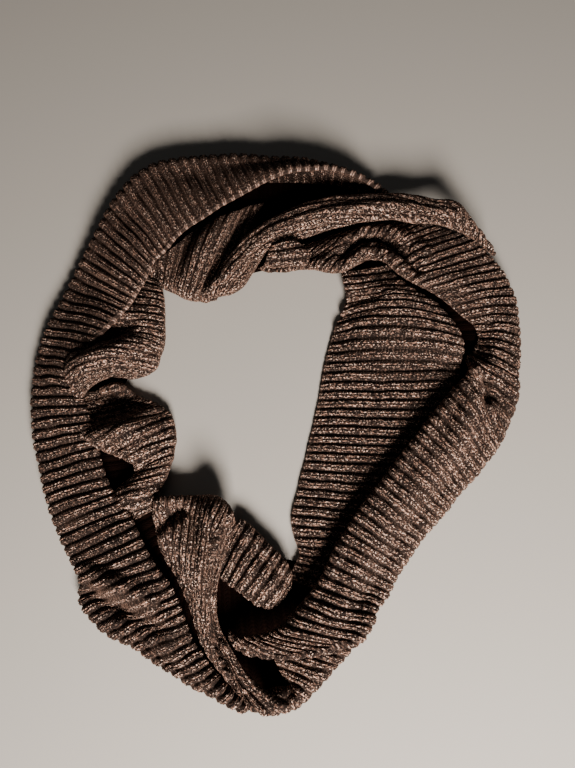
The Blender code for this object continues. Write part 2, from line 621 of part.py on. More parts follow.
def wall_of(grid, ridge):
    """The wall's outer points, with its ribs, and its plain inner points at every second row."""
    out = facing(grid)
    across = grid.shape[1]
    fade = eased(np.minimum(np.arange(across), np.arange(across)[::-1]) / 1.5 + 0.35)
    apart = np.linalg.norm(np.gradient(grid, axis=0), axis=2)
    crowded = np.clip(apart / (CROWDED * RIB_PITCH / 2), 0.2, 1)
    lift = WALL / 2 + RIB_HEIGHT * ridge[:, None] * fade[None, :] * crowded
    outer = grid + out * lift[..., None]
    inner = (grid - out * WALL / 2)[::2]
    outer[..., 2] = np.maximum(outer[..., 2], 0)
    inner[..., 2] = np.maximum(inner[..., 2], 0)
    return outer, inner


def zipped(first, second):
    """Triangles between two rows of point numbers that run side by side."""
    faces = []
    i = j = 0
    while i < len(first) - 1 or j < len(second) - 1:
        ahead = (i + 1) / (len(first) - 1) if i < len(first) - 1 else 2.0
        other = (j + 1) / (len(second) - 1) if j < len(second) - 1 else 2.0
        if ahead <= other:
            faces.append((first[i], first[i + 1], second[j]))
            i += 1
        else:
            faces.append((first[i], second[j + 1], second[j]))
            j += 1
    return faces


def sheet_faces(numbers):
    """Two triangles for each cell of a grid of point numbers."""
    a, b = numbers[:-1, :-1], numbers[:-1, 1:]
    c, d = numbers[1:, 1:], numbers[1:, :-1]
    halves = [np.stack([a, b, c], axis=-1), np.stack([a, c, d], axis=-1)]
    return [tuple(face) for half in halves for face in half.reshape(-1, 3).tolist()]


def closed_wall(outer, inner):
    """One closed mesh of two grids of points, joined round their rims."""
    points = np.concatenate([outer.reshape(-1, 3), inner.reshape(-1, 3)])
    a = np.arange(outer.shape[0] * outer.shape[1]).reshape(outer.shape[:2])
    b = a.size + np.arange(inner.shape[0] * inner.shape[1]).reshape(inner.shape[:2])
    faces = sheet_faces(a) + [face[::-1] for face in sheet_faces(b)]
    faces += zipped(a[:, 0].tolist(), b[:, 0].tolist())
    faces += [face[::-1] for face in zipped(a[:, -1].tolist(), b[:, -1].tolist())]
    faces += [face[::-1] for face in zipped(a[0].tolist(), b[0].tolist())]
    faces += zipped(a[-1].tolist(), b[-1].tolist())
    return points, faces


def hidden_layers():
    """The ring of hidden layers: its top and its flat underside as one closed mesh."""
    table = np.array(HIDDEN_LAYERS, float)
    turn = np.linspace(np.pi, 0, CORE_ACROSS)
    share = (1 - np.sign(np.cos(turn)) * np.abs(np.cos(turn)) ** 0.7)[::-1] / 2
    height = np.sin(turn) ** 0.6
    top = np.empty((len(table), CORE_ACROSS, 3))
    for i, (ox, oy, ix, iy, high) in enumerate(table):
        top[i, :, 0] = ox + (ix - ox) * share[::-1]
        top[i, :, 1] = oy + (iy - oy) * share[::-1]
        top[i, :, 2] = high * height
    points = top.reshape(-1, 3)
    points[:, 2] = np.maximum(points[:, 2], 0)
    numbers = np.arange(len(points)).reshape(len(table), CORE_ACROSS)
    closed = np.concatenate([numbers, numbers[:1]])
    faces = sheet_faces(closed)
    for i in range(len(table)):
        here, there = closed[i], closed[i + 1]
        faces.append((here[0], there[0], there[-1]))
        faces.append((here[0], there[-1], here[-1]))
    return points, faces, np.concatenate([top, top[:1]])


def solid(name, points, faces, colour):
    """A named object of these points, in millimetres, with its faces turned outwards."""
    corners = points[np.array(faces)]
    volume = np.einsum("ij,ij->i", corners[:, 0], np.cross(corners[:, 1], corners[:, 2])).sum()
    if volume < 0:
        faces = [face[::-1] for face in faces]
    mesh = bpy.data.meshes.new(name)
    mesh.from_pydata((points * MM).tolist(), [], faces)
    mesh.shade_smooth()
    material = bpy.data.materials.new(name + "_knit")
    material.use_nodes = True
    shader = material.node_tree.nodes["Principled BSDF"]
    shader.inputs["Base Color"].default_value = (*colour, 1)
    shader.inputs["Roughness"].default_value = 0.9
    shader.inputs["Metallic"].default_value = 0.0
    mesh.materials.append(material)
    made = bpy.data.objects.new(name, mesh)
    bpy.context.scene.collection.objects.link(made)
    return made


def main():
    for old in list(bpy.data.objects):
        bpy.data.objects.remove(old, do_unlink=True)
    points, faces, top = hidden_layers()
    solid("hidden_layers", points, faces, SHADED_BROWN)
    maps = {"hidden_layers": height_map(top)}
    for stretch in STRETCHES:
        grid, ridge = middle_grid(stretch)
        grid = laid_over(grid, [maps[name] for name in stretch.over])
        grid = settled(grid, stretch.settle)
        outer, inner = wall_of(grid, ridge)
        maps[stretch.name] = height_map(outer)
        points, faces = closed_wall(outer, inner)
        solid(stretch.name, points, faces, BROWN_HEATHER)


main()
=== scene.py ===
"""Infinity scarf: the looks of a loop of chunky 1x1 rib knit, dropped in an open ring.

Frame: metres, +Z up, the surface that it lies on at Z = 0, the origin on that surface at the middle
of the ring's box, +Y towards the far side of the ring and +X to the right. The tables are in
millimetres.

Each stretch of cloth that shows is a class. Its table has one row for each section, laid along a
rib from the stretch's outer edge to its inner edge. The cloth runs smoothly through the sections,
is laid over the stretches under it, and then gets its ribs, its stitches and the small unevenness
of thick yarn.
"""

import logging
import math
from dataclasses import dataclass
from enum import Enum
from typing import NamedTuple, TypeVar

import bpy
import numpy as np
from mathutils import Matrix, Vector


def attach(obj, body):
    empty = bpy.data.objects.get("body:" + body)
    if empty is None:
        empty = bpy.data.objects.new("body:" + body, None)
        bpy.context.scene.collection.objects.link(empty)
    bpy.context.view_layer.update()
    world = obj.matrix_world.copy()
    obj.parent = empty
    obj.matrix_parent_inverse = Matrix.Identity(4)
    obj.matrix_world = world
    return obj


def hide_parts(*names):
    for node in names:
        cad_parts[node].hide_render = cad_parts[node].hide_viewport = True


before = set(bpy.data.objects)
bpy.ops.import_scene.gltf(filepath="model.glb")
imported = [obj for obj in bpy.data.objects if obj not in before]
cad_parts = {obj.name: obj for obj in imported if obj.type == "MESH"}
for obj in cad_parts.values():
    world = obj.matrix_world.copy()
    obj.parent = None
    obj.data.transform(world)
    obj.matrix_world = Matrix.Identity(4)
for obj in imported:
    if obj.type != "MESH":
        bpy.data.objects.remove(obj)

LOG = logging.getLogger("scarf")
MM = 0.001
FLAT = 99.0  # a roll this deep ends flat on the floor
FAR = 1e3  # a distance that no edge reaches, in millimetres
Grid = np.ndarray  # rows of points across the cloth, or one number for each of them
Row = TypeVar("Row", bound=tuple)


class Section(NamedTuple):
    """One section of a stretch, along a rib: the outer edge (ox, oy), the cloth's height oz there
    and the depth of its roll, the same for the inner edge, the height mz half-way, and how far the
    rib bows to its left."""

    ox: float
    oy: float
    oz: float
    roll_o: float
    ix: float
    iy: float
    iz: float
    roll_i: float
    mz: float
    bow: float = 0.0


class Crease(NamedTuple):
    """A soft ridge (rise > 0) or trough along a line on the cloth."""

    x0: float
    y0: float
    x1: float
    y1: float
    half_width: float
    rise: float


class Core(NamedTuple):
    """One section of the hidden layers, from the outside to the inside of the ring."""

    ox: float
    oy: float
    ix: float
    iy: float
    height: float


class Sum(NamedTuple):
    """One sum of a material: its name, what is done, with which names and numbers, and if the
    result is kept between 0 and 1."""

    name: str
    does: str
    takes: tuple
    kept: bool = False


class Tint(NamedTuple):
    """One layer of colour: what it follows, the values where it starts and where it is full, its
    tone, and how much it covers there."""

    follows: str
    start: float
    full: float
    tone: str
    most: float


class Hem(Enum):
    """If a stretch's inner edge is the strip's bound-off edge."""

    NONE = "none"
    INNER = "inner"


def rows_of(kind: type[Row], *rows: tuple) -> tuple[Row, ...]:
    """The rows of a table, as named rows of this kind."""
    return tuple(kind(*row) for row in rows)


def linear(colour: str) -> tuple[float, float, float, float]:
    """Turns an sRGB colour into the linear one that shaders take.

    Args:
        colour: the colour as "#rrggbb".

    Returns:
        Red, green, blue and an alpha of 1.
    """
    shares = [int(colour[i : i + 2], 16) / 255 for i in (1, 3, 5)]
    made = [s / 12.92 if s <= 0.04045 else ((s + 0.055) / 1.055) ** 2.4 for s in shares]
    return (made[0], made[1], made[2], 1.0)


def add_node(
    tree: bpy.types.NodeTree,
    kind: str,
    values: dict | None = None,
    links: dict | None = None,
    **settings,
) -> bpy.types.Node:
    """Adds a node to a material.

    Args:
        tree: the node tree that it goes in.
        kind: the node's Blender type.
        values: what its unlinked inputs are set to, by name or place.
        links: the sockets that feed its other inputs, by name or place.
        settings: its properties.

    Returns:
        The node.
    """
    node = tree.nodes.new(kind)
    for name, value in settings.items():
        setattr(node, name, value)
    for key, value in (values or {}).items():
        node.inputs[key].default_value = value
    for key, socket in (links or {}).items():
        tree.links.new(socket, node.inputs[key])
    return node


def new_material(name: str, values: dict) -> tuple[bpy.types.Material, bpy.types.Node]:
    """Makes a material.

    Args:
        name: what it is called.
        values: what its shader's inputs are set to, by name.

    Returns:
        The material and its shader.
    """
    material = bpy.data.materials.new(name)
    material.use_nodes = True
    shader = material.node_tree.nodes["Principled BSDF"]
    for key, value in values.items():
        shader.inputs[key].default_value = value
    return material, shader


def placed(name: str, data: bpy.types.ID) -> bpy.types.Object:
    """Puts a new object in the scene.

    Args:
        name: what it is called.
        data: its mesh, lamp or camera.

    Returns:
        The object.
    """
    made = bpy.data.objects.new(name, data)
    bpy.context.scene.collection.objects.link(made)
    return made


def add_marks(mesh: bpy.types.Mesh, marks: dict[str, Grid]) -> None:
    """Writes marks on a mesh's points.

    Args:
        mesh: the mesh.
        marks: one or three numbers for each point, by the mark's name.
    """
    for name, values in marks.items():
        values = values.reshape(len(mesh.vertices), -1)
        kind, key = ("FLOAT", "value") if values.shape[1] == 1 else ("FLOAT_VECTOR", "vector")
        layer = mesh.attributes.new(name, kind, "POINT")
        layer.data.foreach_set(key, values.astype(np.float32).ravel())


def dress(
    piece: bpy.types.Object,
    node: str,
    material: bpy.types.Material,
) -> None:
    """Gives a sheet its yarn and says what it is to the frame.

    Args:
        piece: the sheet.
        node: the solid that it stands for.
        material: the yarn.
    """
    piece.data.materials.append(material)
    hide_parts(node)
    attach(piece, "root")


def eased(x: Grid) -> Grid:
    """0 to 1 with soft ends, for x from 0 to 1."""
    x = np.clip(x, 0, 1)
    return x * x * (3 - 2 * x)


def hermite(t: Grid, start: Grid, leaving: Grid, end: Grid, arriving: Grid) -> Grid:
    """Draws a smooth line.

    Args:
        t: where to read it, from 0 to 1.
        start: where it starts.
        leaving: its slope there.
        end: where it ends.
        arriving: its slope there.

    Returns:
        The line at each t.
    """
    return (
        (1 + 2 * t) * (1 - t) ** 2 * start
        + t * (1 - t) ** 2 * leaving
        + t * t * (3 - 2 * t) * end
        + t * t * (t - 1) * arriving
    )


def through(knots: Grid, at: Grid, positions: Grid) -> Grid:
    """Reads values smoothly between the places where they are known.

    Args:
        knots: the known values, one row for each place.
        at: the places, in rising order.
        positions: where to read.

    Returns:
        One row of values for each position.
    """
    slopes = np.gradient(knots, at, axis=0)
    k = np.clip(np.searchsorted(at, positions, side="right") - 1, 0, len(at) - 2)
    lead = (slice(None),) + (None,) * (knots.ndim - 1)
    span = (at[k + 1] - at[k])[lead]
    t = (positions - at[k])[lead] / span
    return hermite(t, knots[k], span * slopes[k], knots[k + 1], span * slopes[k + 1])


def refined(values: Grid, steps: tuple[int, int]) -> Grid:
    """Reads a grid more finely.

    Args:
        values: one value or more for each point.
        steps: how many steps go between its rows, and between its points across.

    Returns:
        The finer grid.
    """
    for axis, count in enumerate(steps):
        turned = np.swapaxes(values, 0, axis)
        at = np.arange(len(turned), dtype=float)
        fine = np.linspace(0, at[-1], (len(turned) - 1) * count + 1)
        values = np.swapaxes(through(turned, at, fine), 0, axis)
    return values


def unevenness(x: Grid, y: Grid, size: float, seed: int) -> Grid:
    """Soft noise between -1 and 1.

    Args:
        x: first place, in millimetres.
        y: second place, in millimetres.
        size: distance from one swelling to the next, in millimetres.
        seed: picks one noise of many.

    Returns:
        The noise at each place.
    """
    side, start = 64, 17
    lattice = np.random.default_rng(seed).uniform(-1, 1, (side, side))
    u, v = x / size + start, y / size + start
    i, j = np.floor(u).astype(int), np.floor(v).astype(int)
    s, t = eased(u - i), eased(v - j)
    i, j = i % (side - 1), j % (side - 1)
    low = lattice[i, j] * (1 - t) + lattice[i, j + 1] * t
    high = lattice[i + 1, j] * (1 - t) + lattice[i + 1, j + 1] * t
    return low * (1 - s) + high * s


@dataclass(frozen=True)
class RibStitch:
    """The 1x1 rib: columns of V stitches that stand proud, and purl valleys. In millimetres."""

    pitch: float = 9.2  # one column and one valley, along the strip
    rib: float = 1.9  # a column over the plain wall
    fullness: float = 2.2  # how round a column's top is
    row: float = 3.3  # from one stitch to the next, along a rib
    leg: float = 0.7  # a leg of the V over its column
    leg_fullness: float = 0.8  # how round a leg is, less for a fuller one
    dip: float = 0.25  # the groove between the two legs, as a share of a leg
    column: float = 3.9  # half width of a column
    slant: float = 1.15  # how steeply the legs of the V run
    purl: float = 0.35  # the purl bumps in the valleys
    wall: float = 2.0  # the cloth in a valley
    back: float = 0.7  # the ribs of the cloth's back
    chain: float = 1.0  # the bound-off chain over the hem
    chain_width: float = 5.5
    chain_wave: float = 0.25  # how far the chain's links rise and fall, as a share of it

    def relief(self, rib: Grid, along: Grid) -> Grid:
        """How far the right side stands over the plain wall.

        Args:
            rib: the place along the strip, counted in ribs, whole in a valley.
            along: the place along the rib, in millimetres.

        Returns:
            The height at each place.
        """
        off = np.abs(rib % 1 - 0.5) * self.pitch
        ridge = 1 - (2 * off / self.pitch) ** self.fullness
        side = np.sin(np.pi * np.clip(off / self.column, 0, 1)) ** self.leg_fullness
        turn = 2 * np.pi * (along - self.slant * off) / self.row
        legs = side * (0.5 + 0.5 * np.cos(turn)) - self.dip * np.clip(1 - off, 0, 1)
        bumps = (1 - ridge) * (0.5 + 0.5 * np.cos(2 * np.pi * along / self.row))
        return self.rib * ridge + self.leg * legs + self.purl * bumps

    def bound_off(self, rib: Grid, from_edge: Grid) -> Grid:
        """How far the chain along a hem stands over the plain wall.

        Args:
            rib: the place along the strip, counted in ribs.
            from_edge: the distance from the hem's edge, in millimetres.

        Returns:
            The height at each place.
        """
        across = np.sin(np.pi * np.clip(from_edge / self.chain_width, 0, 1))
        links = 1 - self.chain_wave + self.chain_wave * np.cos(4 * np.pi * rib)
        return self.chain * across * links


@dataclass(frozen=True)
class HeatherYarn:
    """Thick wool and acrylic yarn, spun from fibres of several browns and knitted in rib.

    The yarn is dull with a short nap, so it has hardly any gloss and a faint sheen where it turns
    away. Its tone changes every stitch or so, from cream to near black, which gives the knit its
    salt and pepper. The gaps between the legs of the stitches and the valleys between the ribs are
    painted dark, as painted shade, and a band along each hem is painted lighter, as a painted
    highlight.
    """

    name: str = "heather_wool_yarn_rib_knitted"
    body: str = "#20110c"
    warm: str = "#2b1812"
    dark: str = "#0e0605"
    light: str = "#bd9480"
    fleck: str = "#f0d2c0"
    # gap: the tone of the painted shade in the gaps between the stitches' legs and in the valleys
    # between the ribs
    gap: str = "#120a07"
    # hem: the tone of a painted highlight along the bound-off edge
    hem: str = "#c9a797"
    nap_roughness: float = 0.92
    gloss: float = 0.15
    sheen: float = 0.25
    sheen_roughness: float = 0.5
    refraction: float = 1.54  # of wool
    fibre_mm: float = 1.15  # a ply of the yarn
    stretch: float = 0.33  # a ply's width over its length
    fleck_mm: float = 1.3
    patch_mm: float = 45.0
    bump_mm: float = 0.7
    bump_strength: float = 0.9
    nap: float = 0.3  # the plies' relief over the depth of the gaps
    # These place the painted shade in the valleys and in the gaps between stitches
    drift_mm: float = 8.0  # how soon a valley opens and closes
    drift: float = 3.0  # and how far
    opening: float = 2.6  # how much wider a valley gets where the ribs are pulled apart
    between: tuple[float, float] = (5.0, -1.45)  # the gap between two stitches: its slope and start
    centre: tuple[float, float] = (-1.3, 1.0)  # the same for the gap down the middle of a column
    purl: tuple[float, float] = (1.1, 0.5)  # and for the valley between two purl bumps
    gap_shade_share: float = 0.85  # how dark the painted shade in the gaps gets, where a valley is 1
    columns_apart: float = 4.0  # keeps the tones of one column's legs from the next one's
    stitch: RibStitch = RibStitch()

    def sums(self) -> tuple[Sum, ...]:
        """The sums that find the stitch at a point. The yarn's x runs along the ribs and its y
        along the strip, in millimetres.

        Returns:
            The sums, each after those that it takes from.
        """
        s = self.stitch
        return rows_of(
            Sum,
            ("rib", "DIVIDE", ("y", s.pitch)),
            ("share", "FRACT", ("rib",)),
            ("side", "SUBTRACT", ("share", 0.5)),
            ("across", "MULTIPLY", ("side", s.pitch)),
            ("off", "ABSOLUTE", ("across",)),
            ("slope", "MULTIPLY", ("off", s.slant)),
            ("leg", "SUBTRACT", ("x", "slope")),
            ("turn", "DIVIDE", ("leg", s.row)),
            ("phase", "FRACT", ("turn",)),
            ("middle", "SUBTRACT", ("phase", 0.5)),
            ("edge", "ABSOLUTE", ("middle",)),
            # The sums from here on mask the painted shade in the gaps between the legs and in the
            # valleys between the ribs
            ("between", "MULTIPLY_ADD", ("edge", *self.between), True),
            ("centre", "MULTIPLY_ADD", ("off", *self.centre), True),
            ("opened", "MULTIPLY_ADD", ("spread", self.opening, 1.0 - s.column)),
            ("drift", "SUBTRACT", ("wavering", 0.5)),
            ("drifting", "MULTIPLY_ADD", ("drift", self.drift, "opened")),
            ("valley_side", "ADD", ("off", "drifting"), True),
            ("valley", "MULTIPLY", ("valley_side", "depth")),
            ("purl_turn", "DIVIDE", ("x", s.row)),
            ("purl_phase", "FRACT", ("purl_turn",)),
            ("purl_middle", "SUBTRACT", ("purl_phase", 0.5)),
            ("purl_edge", "ABSOLUTE", ("purl_middle",)),
            ("purl", "MULTIPLY_ADD", ("purl_edge", *self.purl), True),
            ("valley_shade", "MULTIPLY", ("valley", "purl")),
            ("gap_shade", "MAXIMUM", ("between", "centre")),
            ("open", "MULTIPLY", ("gap_shade", self.gap_shade_share)),
            ("dark", "MAXIMUM", ("open", "valley_shade")),
            ("stitch", "FLOOR", ("turn",)),
            ("leg_side", "SIGN", ("across",)),
            ("column", "FLOOR", ("rib",)),
            ("which", "MULTIPLY_ADD", ("column", self.columns_apart, "leg_side")),
        )

    def tints(self) -> tuple[Tint, ...]:
        """The layers of colour over the body's tone.

        Returns:
            The layers, from the lowest up.
        """
        return rows_of(
            Tint,
            ("patches", 0.35, 0.65, self.warm, 0.8),
            ("of_leg", 0.5, 0.1, self.dark, 0.65),
            ("of_leg", 0.6, 1.0, self.light, 0.3),
            ("plies", 0.54, 0.48, self.dark, 0.95),
            ("plies", 0.57, 0.615, self.light, 0.95),
            ("flecks", 0.5, 0.42, self.dark, 0.75),
            ("flecks", 0.58, 0.64, self.fleck, 0.9),
            # a painted highlight along the hem
            ("hem", 0.0, 1.0, self.hem, 0.35),
            # painted shade in the gaps between stitches and in the valleys
            ("dark", 0.0, 1.0, self.gap, 0.94),
            # painted shade where the ribs stand low, in the valleys
            ("relief", 0.45, 0.05, self.gap, 0.6),
        )

    def read(self, tree: bpy.types.NodeTree) -> dict[str, bpy.types.NodeSocket]:
        """Adds the nodes that read what the yarn knows at a point.

        Args:
            tree: the material's node tree.

        Returns:
            The place on the strip, the stitch and the noises there, as sockets by name.
        """

        def add(kind: str, result: str | int, *takes, **settings) -> bpy.types.NodeSocket:
            """A node that takes sockets by their names in found, and plain values."""
            values = {k: v for k, v in enumerate(takes) if not isinstance(v, str)}
            links = {k: found[v] for k, v in enumerate(takes) if isinstance(v, str)}
            return add_node(tree, f"ShaderNode{kind}", values, links, **settings).outputs[result]

        def noise(at: str, size: float, detail: float, rough: float = 0.5) -> bpy.types.NodeSocket:
            """A noise with swellings of this size, read at a named place."""
            values = {"Scale": 1 / size, "Detail": detail, "Roughness": rough}
            links = {"Vector": found[at]}
            return add_node(tree, "ShaderNodeTexNoise", values, links).outputs["Fac"]

        found = {"place": add_node(tree, "ShaderNodeTexCoord").outputs["Object"]}
        found["yarn"] = add("Attribute", "Vector", attribute_name="yarn")
        parts = add_node(tree, "ShaderNodeSeparateXYZ", None, {0: found["yarn"]}).outputs
        found |= {"x": parts[0], "y": parts[1], "z": parts[2]}
        for mark in ("relief", "hem", "spread", "depth"):
            found[mark] = add("Attribute", "Fac", attribute_name=mark)
        found["wavering"] = noise("yarn", self.drift_mm, 2.0)
        for name, does, takes, kept in self.sums():
            found[name] = add("Math", 0, *takes, operation=does, use_clamp=kept)
        found["which_leg"] = add("CombineXYZ", 0, "stitch", "which", "z")
        random = add_node(tree, "ShaderNodeTexWhiteNoise", None, {"Vector": found["which_leg"]})
        found["of_leg"] = random.outputs["Value"]
        found["run"] = add("CombineXYZ", 0, "leg", "across", "which")
        found["ply"] = add("VectorMath", 0, "run", (self.stretch, 1.0, 1.0), operation="MULTIPLY")
        found["plies"] = noise("ply", self.fibre_mm, 1.0)
        found["flecks"] = noise("place", self.fleck_mm * MM, 2.0, 0.6)
        found["patches"] = noise("place", self.patch_mm * MM, 2.0)
        found["nap"] = add("Math", 0, "plies", self.nap, operation="MULTIPLY")
        found["height"] = add("Math", 0, "nap", "dark", operation="SUBTRACT")
        return found

    def made(self) -> bpy.types.Material:
        """Makes the material with its nodes.

        Returns:
            The material.
        """
        material, shader = new_material(
            self.name,
            {
                "Roughness": self.nap_roughness,
                "Metallic": 0.0,
                "IOR": self.refraction,
                "Specular IOR Level": self.gloss,
                "Sheen Weight": self.sheen,
                "Sheen Roughness": self.sheen_roughness,
                "Sheen Tint": linear(self.light),
            },
        )
        tree = material.node_tree
        found = self.read(tree)
        shown = add_node(tree, "ShaderNodeRGB").outputs[0]
        shown.default_value = linear(self.body)
        for follows, start, full, tone, most in self.tints():
            span = {1: start, 2: full, 3: 0.0, 4: most}
            share = add_node(tree, "ShaderNodeMapRange", span, {0: found[follows]}).outputs[0]
            both = {0: share, 6: shown}
            mix = add_node(tree, "ShaderNodeMix", {7: linear(tone)}, both, data_type="RGBA")
            shown = mix.outputs[2]
        tree.links.new(shown, shader.inputs["Base Color"])
        depth = {"Strength": self.bump_strength, "Distance": self.bump_mm * MM}
        bump = add_node(tree, "ShaderNodeBump", depth, {"Height": found["height"]})
        tree.links.new(bump.outputs["Normal"], shader.inputs["Normal"])
        return material


@dataclass(frozen=True)
class PlainPaint:
    """Matt emulsion on board, rolled on: an even tone with no gloss."""

    name: str = "matt_emulsion_rolled"
    tone: str = "#aaa7a1"
    roughness: float = 0.85

    def made(self) -> bpy.types.Material:
        """The material."""
        values = {"Base Color": linear(self.tone), "Roughness": self.roughness}
        return new_material(self.name, values)[0]


class Landscape:
    """The height of the cloth already laid, on a square map for each stretch. Millimetres."""

    cell: float = 2.0
    half: float = 280.0
    gap: float = 0.5  # between two layers
    reach_mm: tuple[float, float] = (28.0, 30.0)  # how far a lift reaches, along and across a strip
    soft_mm: tuple[float, float] = (12.0, 20.0)  # how softly it ends

    def __init__(self) -> None:
        """Starts with nothing laid."""
        self.tops: dict[str, Grid] = {}
        self.count = int(2 * self.half / self.cell)

    def cells(self, points: Grid) -> tuple[Grid, Grid]:
        """Finds the map's cell under each point.

        Args:
            points: the points.

        Returns:
            Each cell's place along x and along y.
        """
        where = ((points[..., :2] + self.half) / self.cell).astype(int)
        where = np.clip(where, 0, self.count - 1)
        return where[..., 0], where[..., 1]

    def add(self, name: str, points: Grid) -> None:
        """Keeps the tops of a stretch.

        Args:
            name: its node.
            points: its points, closer together than the map's cells.
        """
        tops = np.zeros((self.count, self.count))
        i, j = self.cells(points)
        np.maximum.at(tops, (i.ravel(), j.ravel()), points[..., 2].ravel())
        self.tops[name] = spread_up(tops, (1, 1))

    def laid_over(self, grid: Grid, names: tuple[str, ...], stitch: RibStitch, step: float) -> Grid:
        """Lifts a stretch softly wherever it would sink into what lies under it.

        Args:
            grid: the middle of its wall.
            names: the stretches under it.
            stitch: its knit, for the thickness.
            step: the distance between its points across, in millimetres.

        Returns:
            The lifted grid.
        """
        tops = np.max([self.tops[name] for name in names], axis=0)
        under = tops[self.cells(grid)]
        room = self.gap + stitch.wall / 2 + stitch.rib * (facing(grid)[..., 2] < 0)
        short = np.maximum(np.where(under > 0, under + room - grid[..., 2], 0), 0)
        sizes = (stitch.pitch / 2, step)
        reach = [round(self.reach_mm[k] / sizes[k]) for k in (0, 1)]
        times = [round(2 * (self.soft_mm[k] / sizes[k]) ** 2) for k in (0, 1)]
        raised = grid.copy()
        raised[..., 2] += np.maximum(short, blurred(spread_up(short, reach), times))
        return raised


def spread_up(field: Grid, reach: list[int] | tuple[int, int]) -> Grid:
    """Replaces each value by the greatest one near it.

    Args:
        field: the values.
        reach: how many steps away it looks, along each axis.

    Returns:
        The new values.
    """
    for axis, steps in enumerate(reach):
        kept = field
        count = field.shape[axis]
        for step in range(1, min(steps, count - 1) + 1):
            for run, pad in ((range(step, count), (0, step)), (range(count - step), (step, 0))):
                pads = [pad if a == axis else (0, 0) for a in (0, 1)]
                field = np.maximum(field, np.pad(np.take(kept, run, axis), pads))
    return field


def blurred(field: Grid, times: list[int]) -> Grid:
    """Smooths a field.

    Args:
        field: the values.
        times: how often it is smoothed along each axis.

    Returns:
        The new values.
    """
    for axis in (0, 1):
        count = field.shape[axis]
        pads = [(1, 1) if a == axis else (0, 0) for a in (0, 1)]
        for _ in range(times[axis]):
            wide = np.pad(field, pads, mode="edge")
            low = np.take(wide, range(count), axis)
            high = np.take(wide, range(2, count + 2), axis)
            field = (low + 2 * field + high) / 4
    return field


def unit(vectors: Grid) -> Grid:
    """The vectors with a length of 1."""
    return vectors / np.maximum(np.linalg.norm(vectors, axis=2, keepdims=True), 1e-9)


def facing(grid: Grid) -> Grid:
    """Unit vectors out of the cloth's right side."""
    out = unit(np.cross(np.gradient(grid, axis=1), np.gradient(grid, axis=0)))
    return out if out[:, grid.shape[1] // 2, 2].mean() > 0 else -out


def measured_across(grid: Grid) -> Grid:
    """How far each point lies from the first point of its row, along the cloth."""
    steps = np.linalg.norm(np.diff(grid, axis=1), axis=2)
    return np.concatenate([np.zeros((len(grid), 1)), np.cumsum(steps, axis=1)], axis=1)


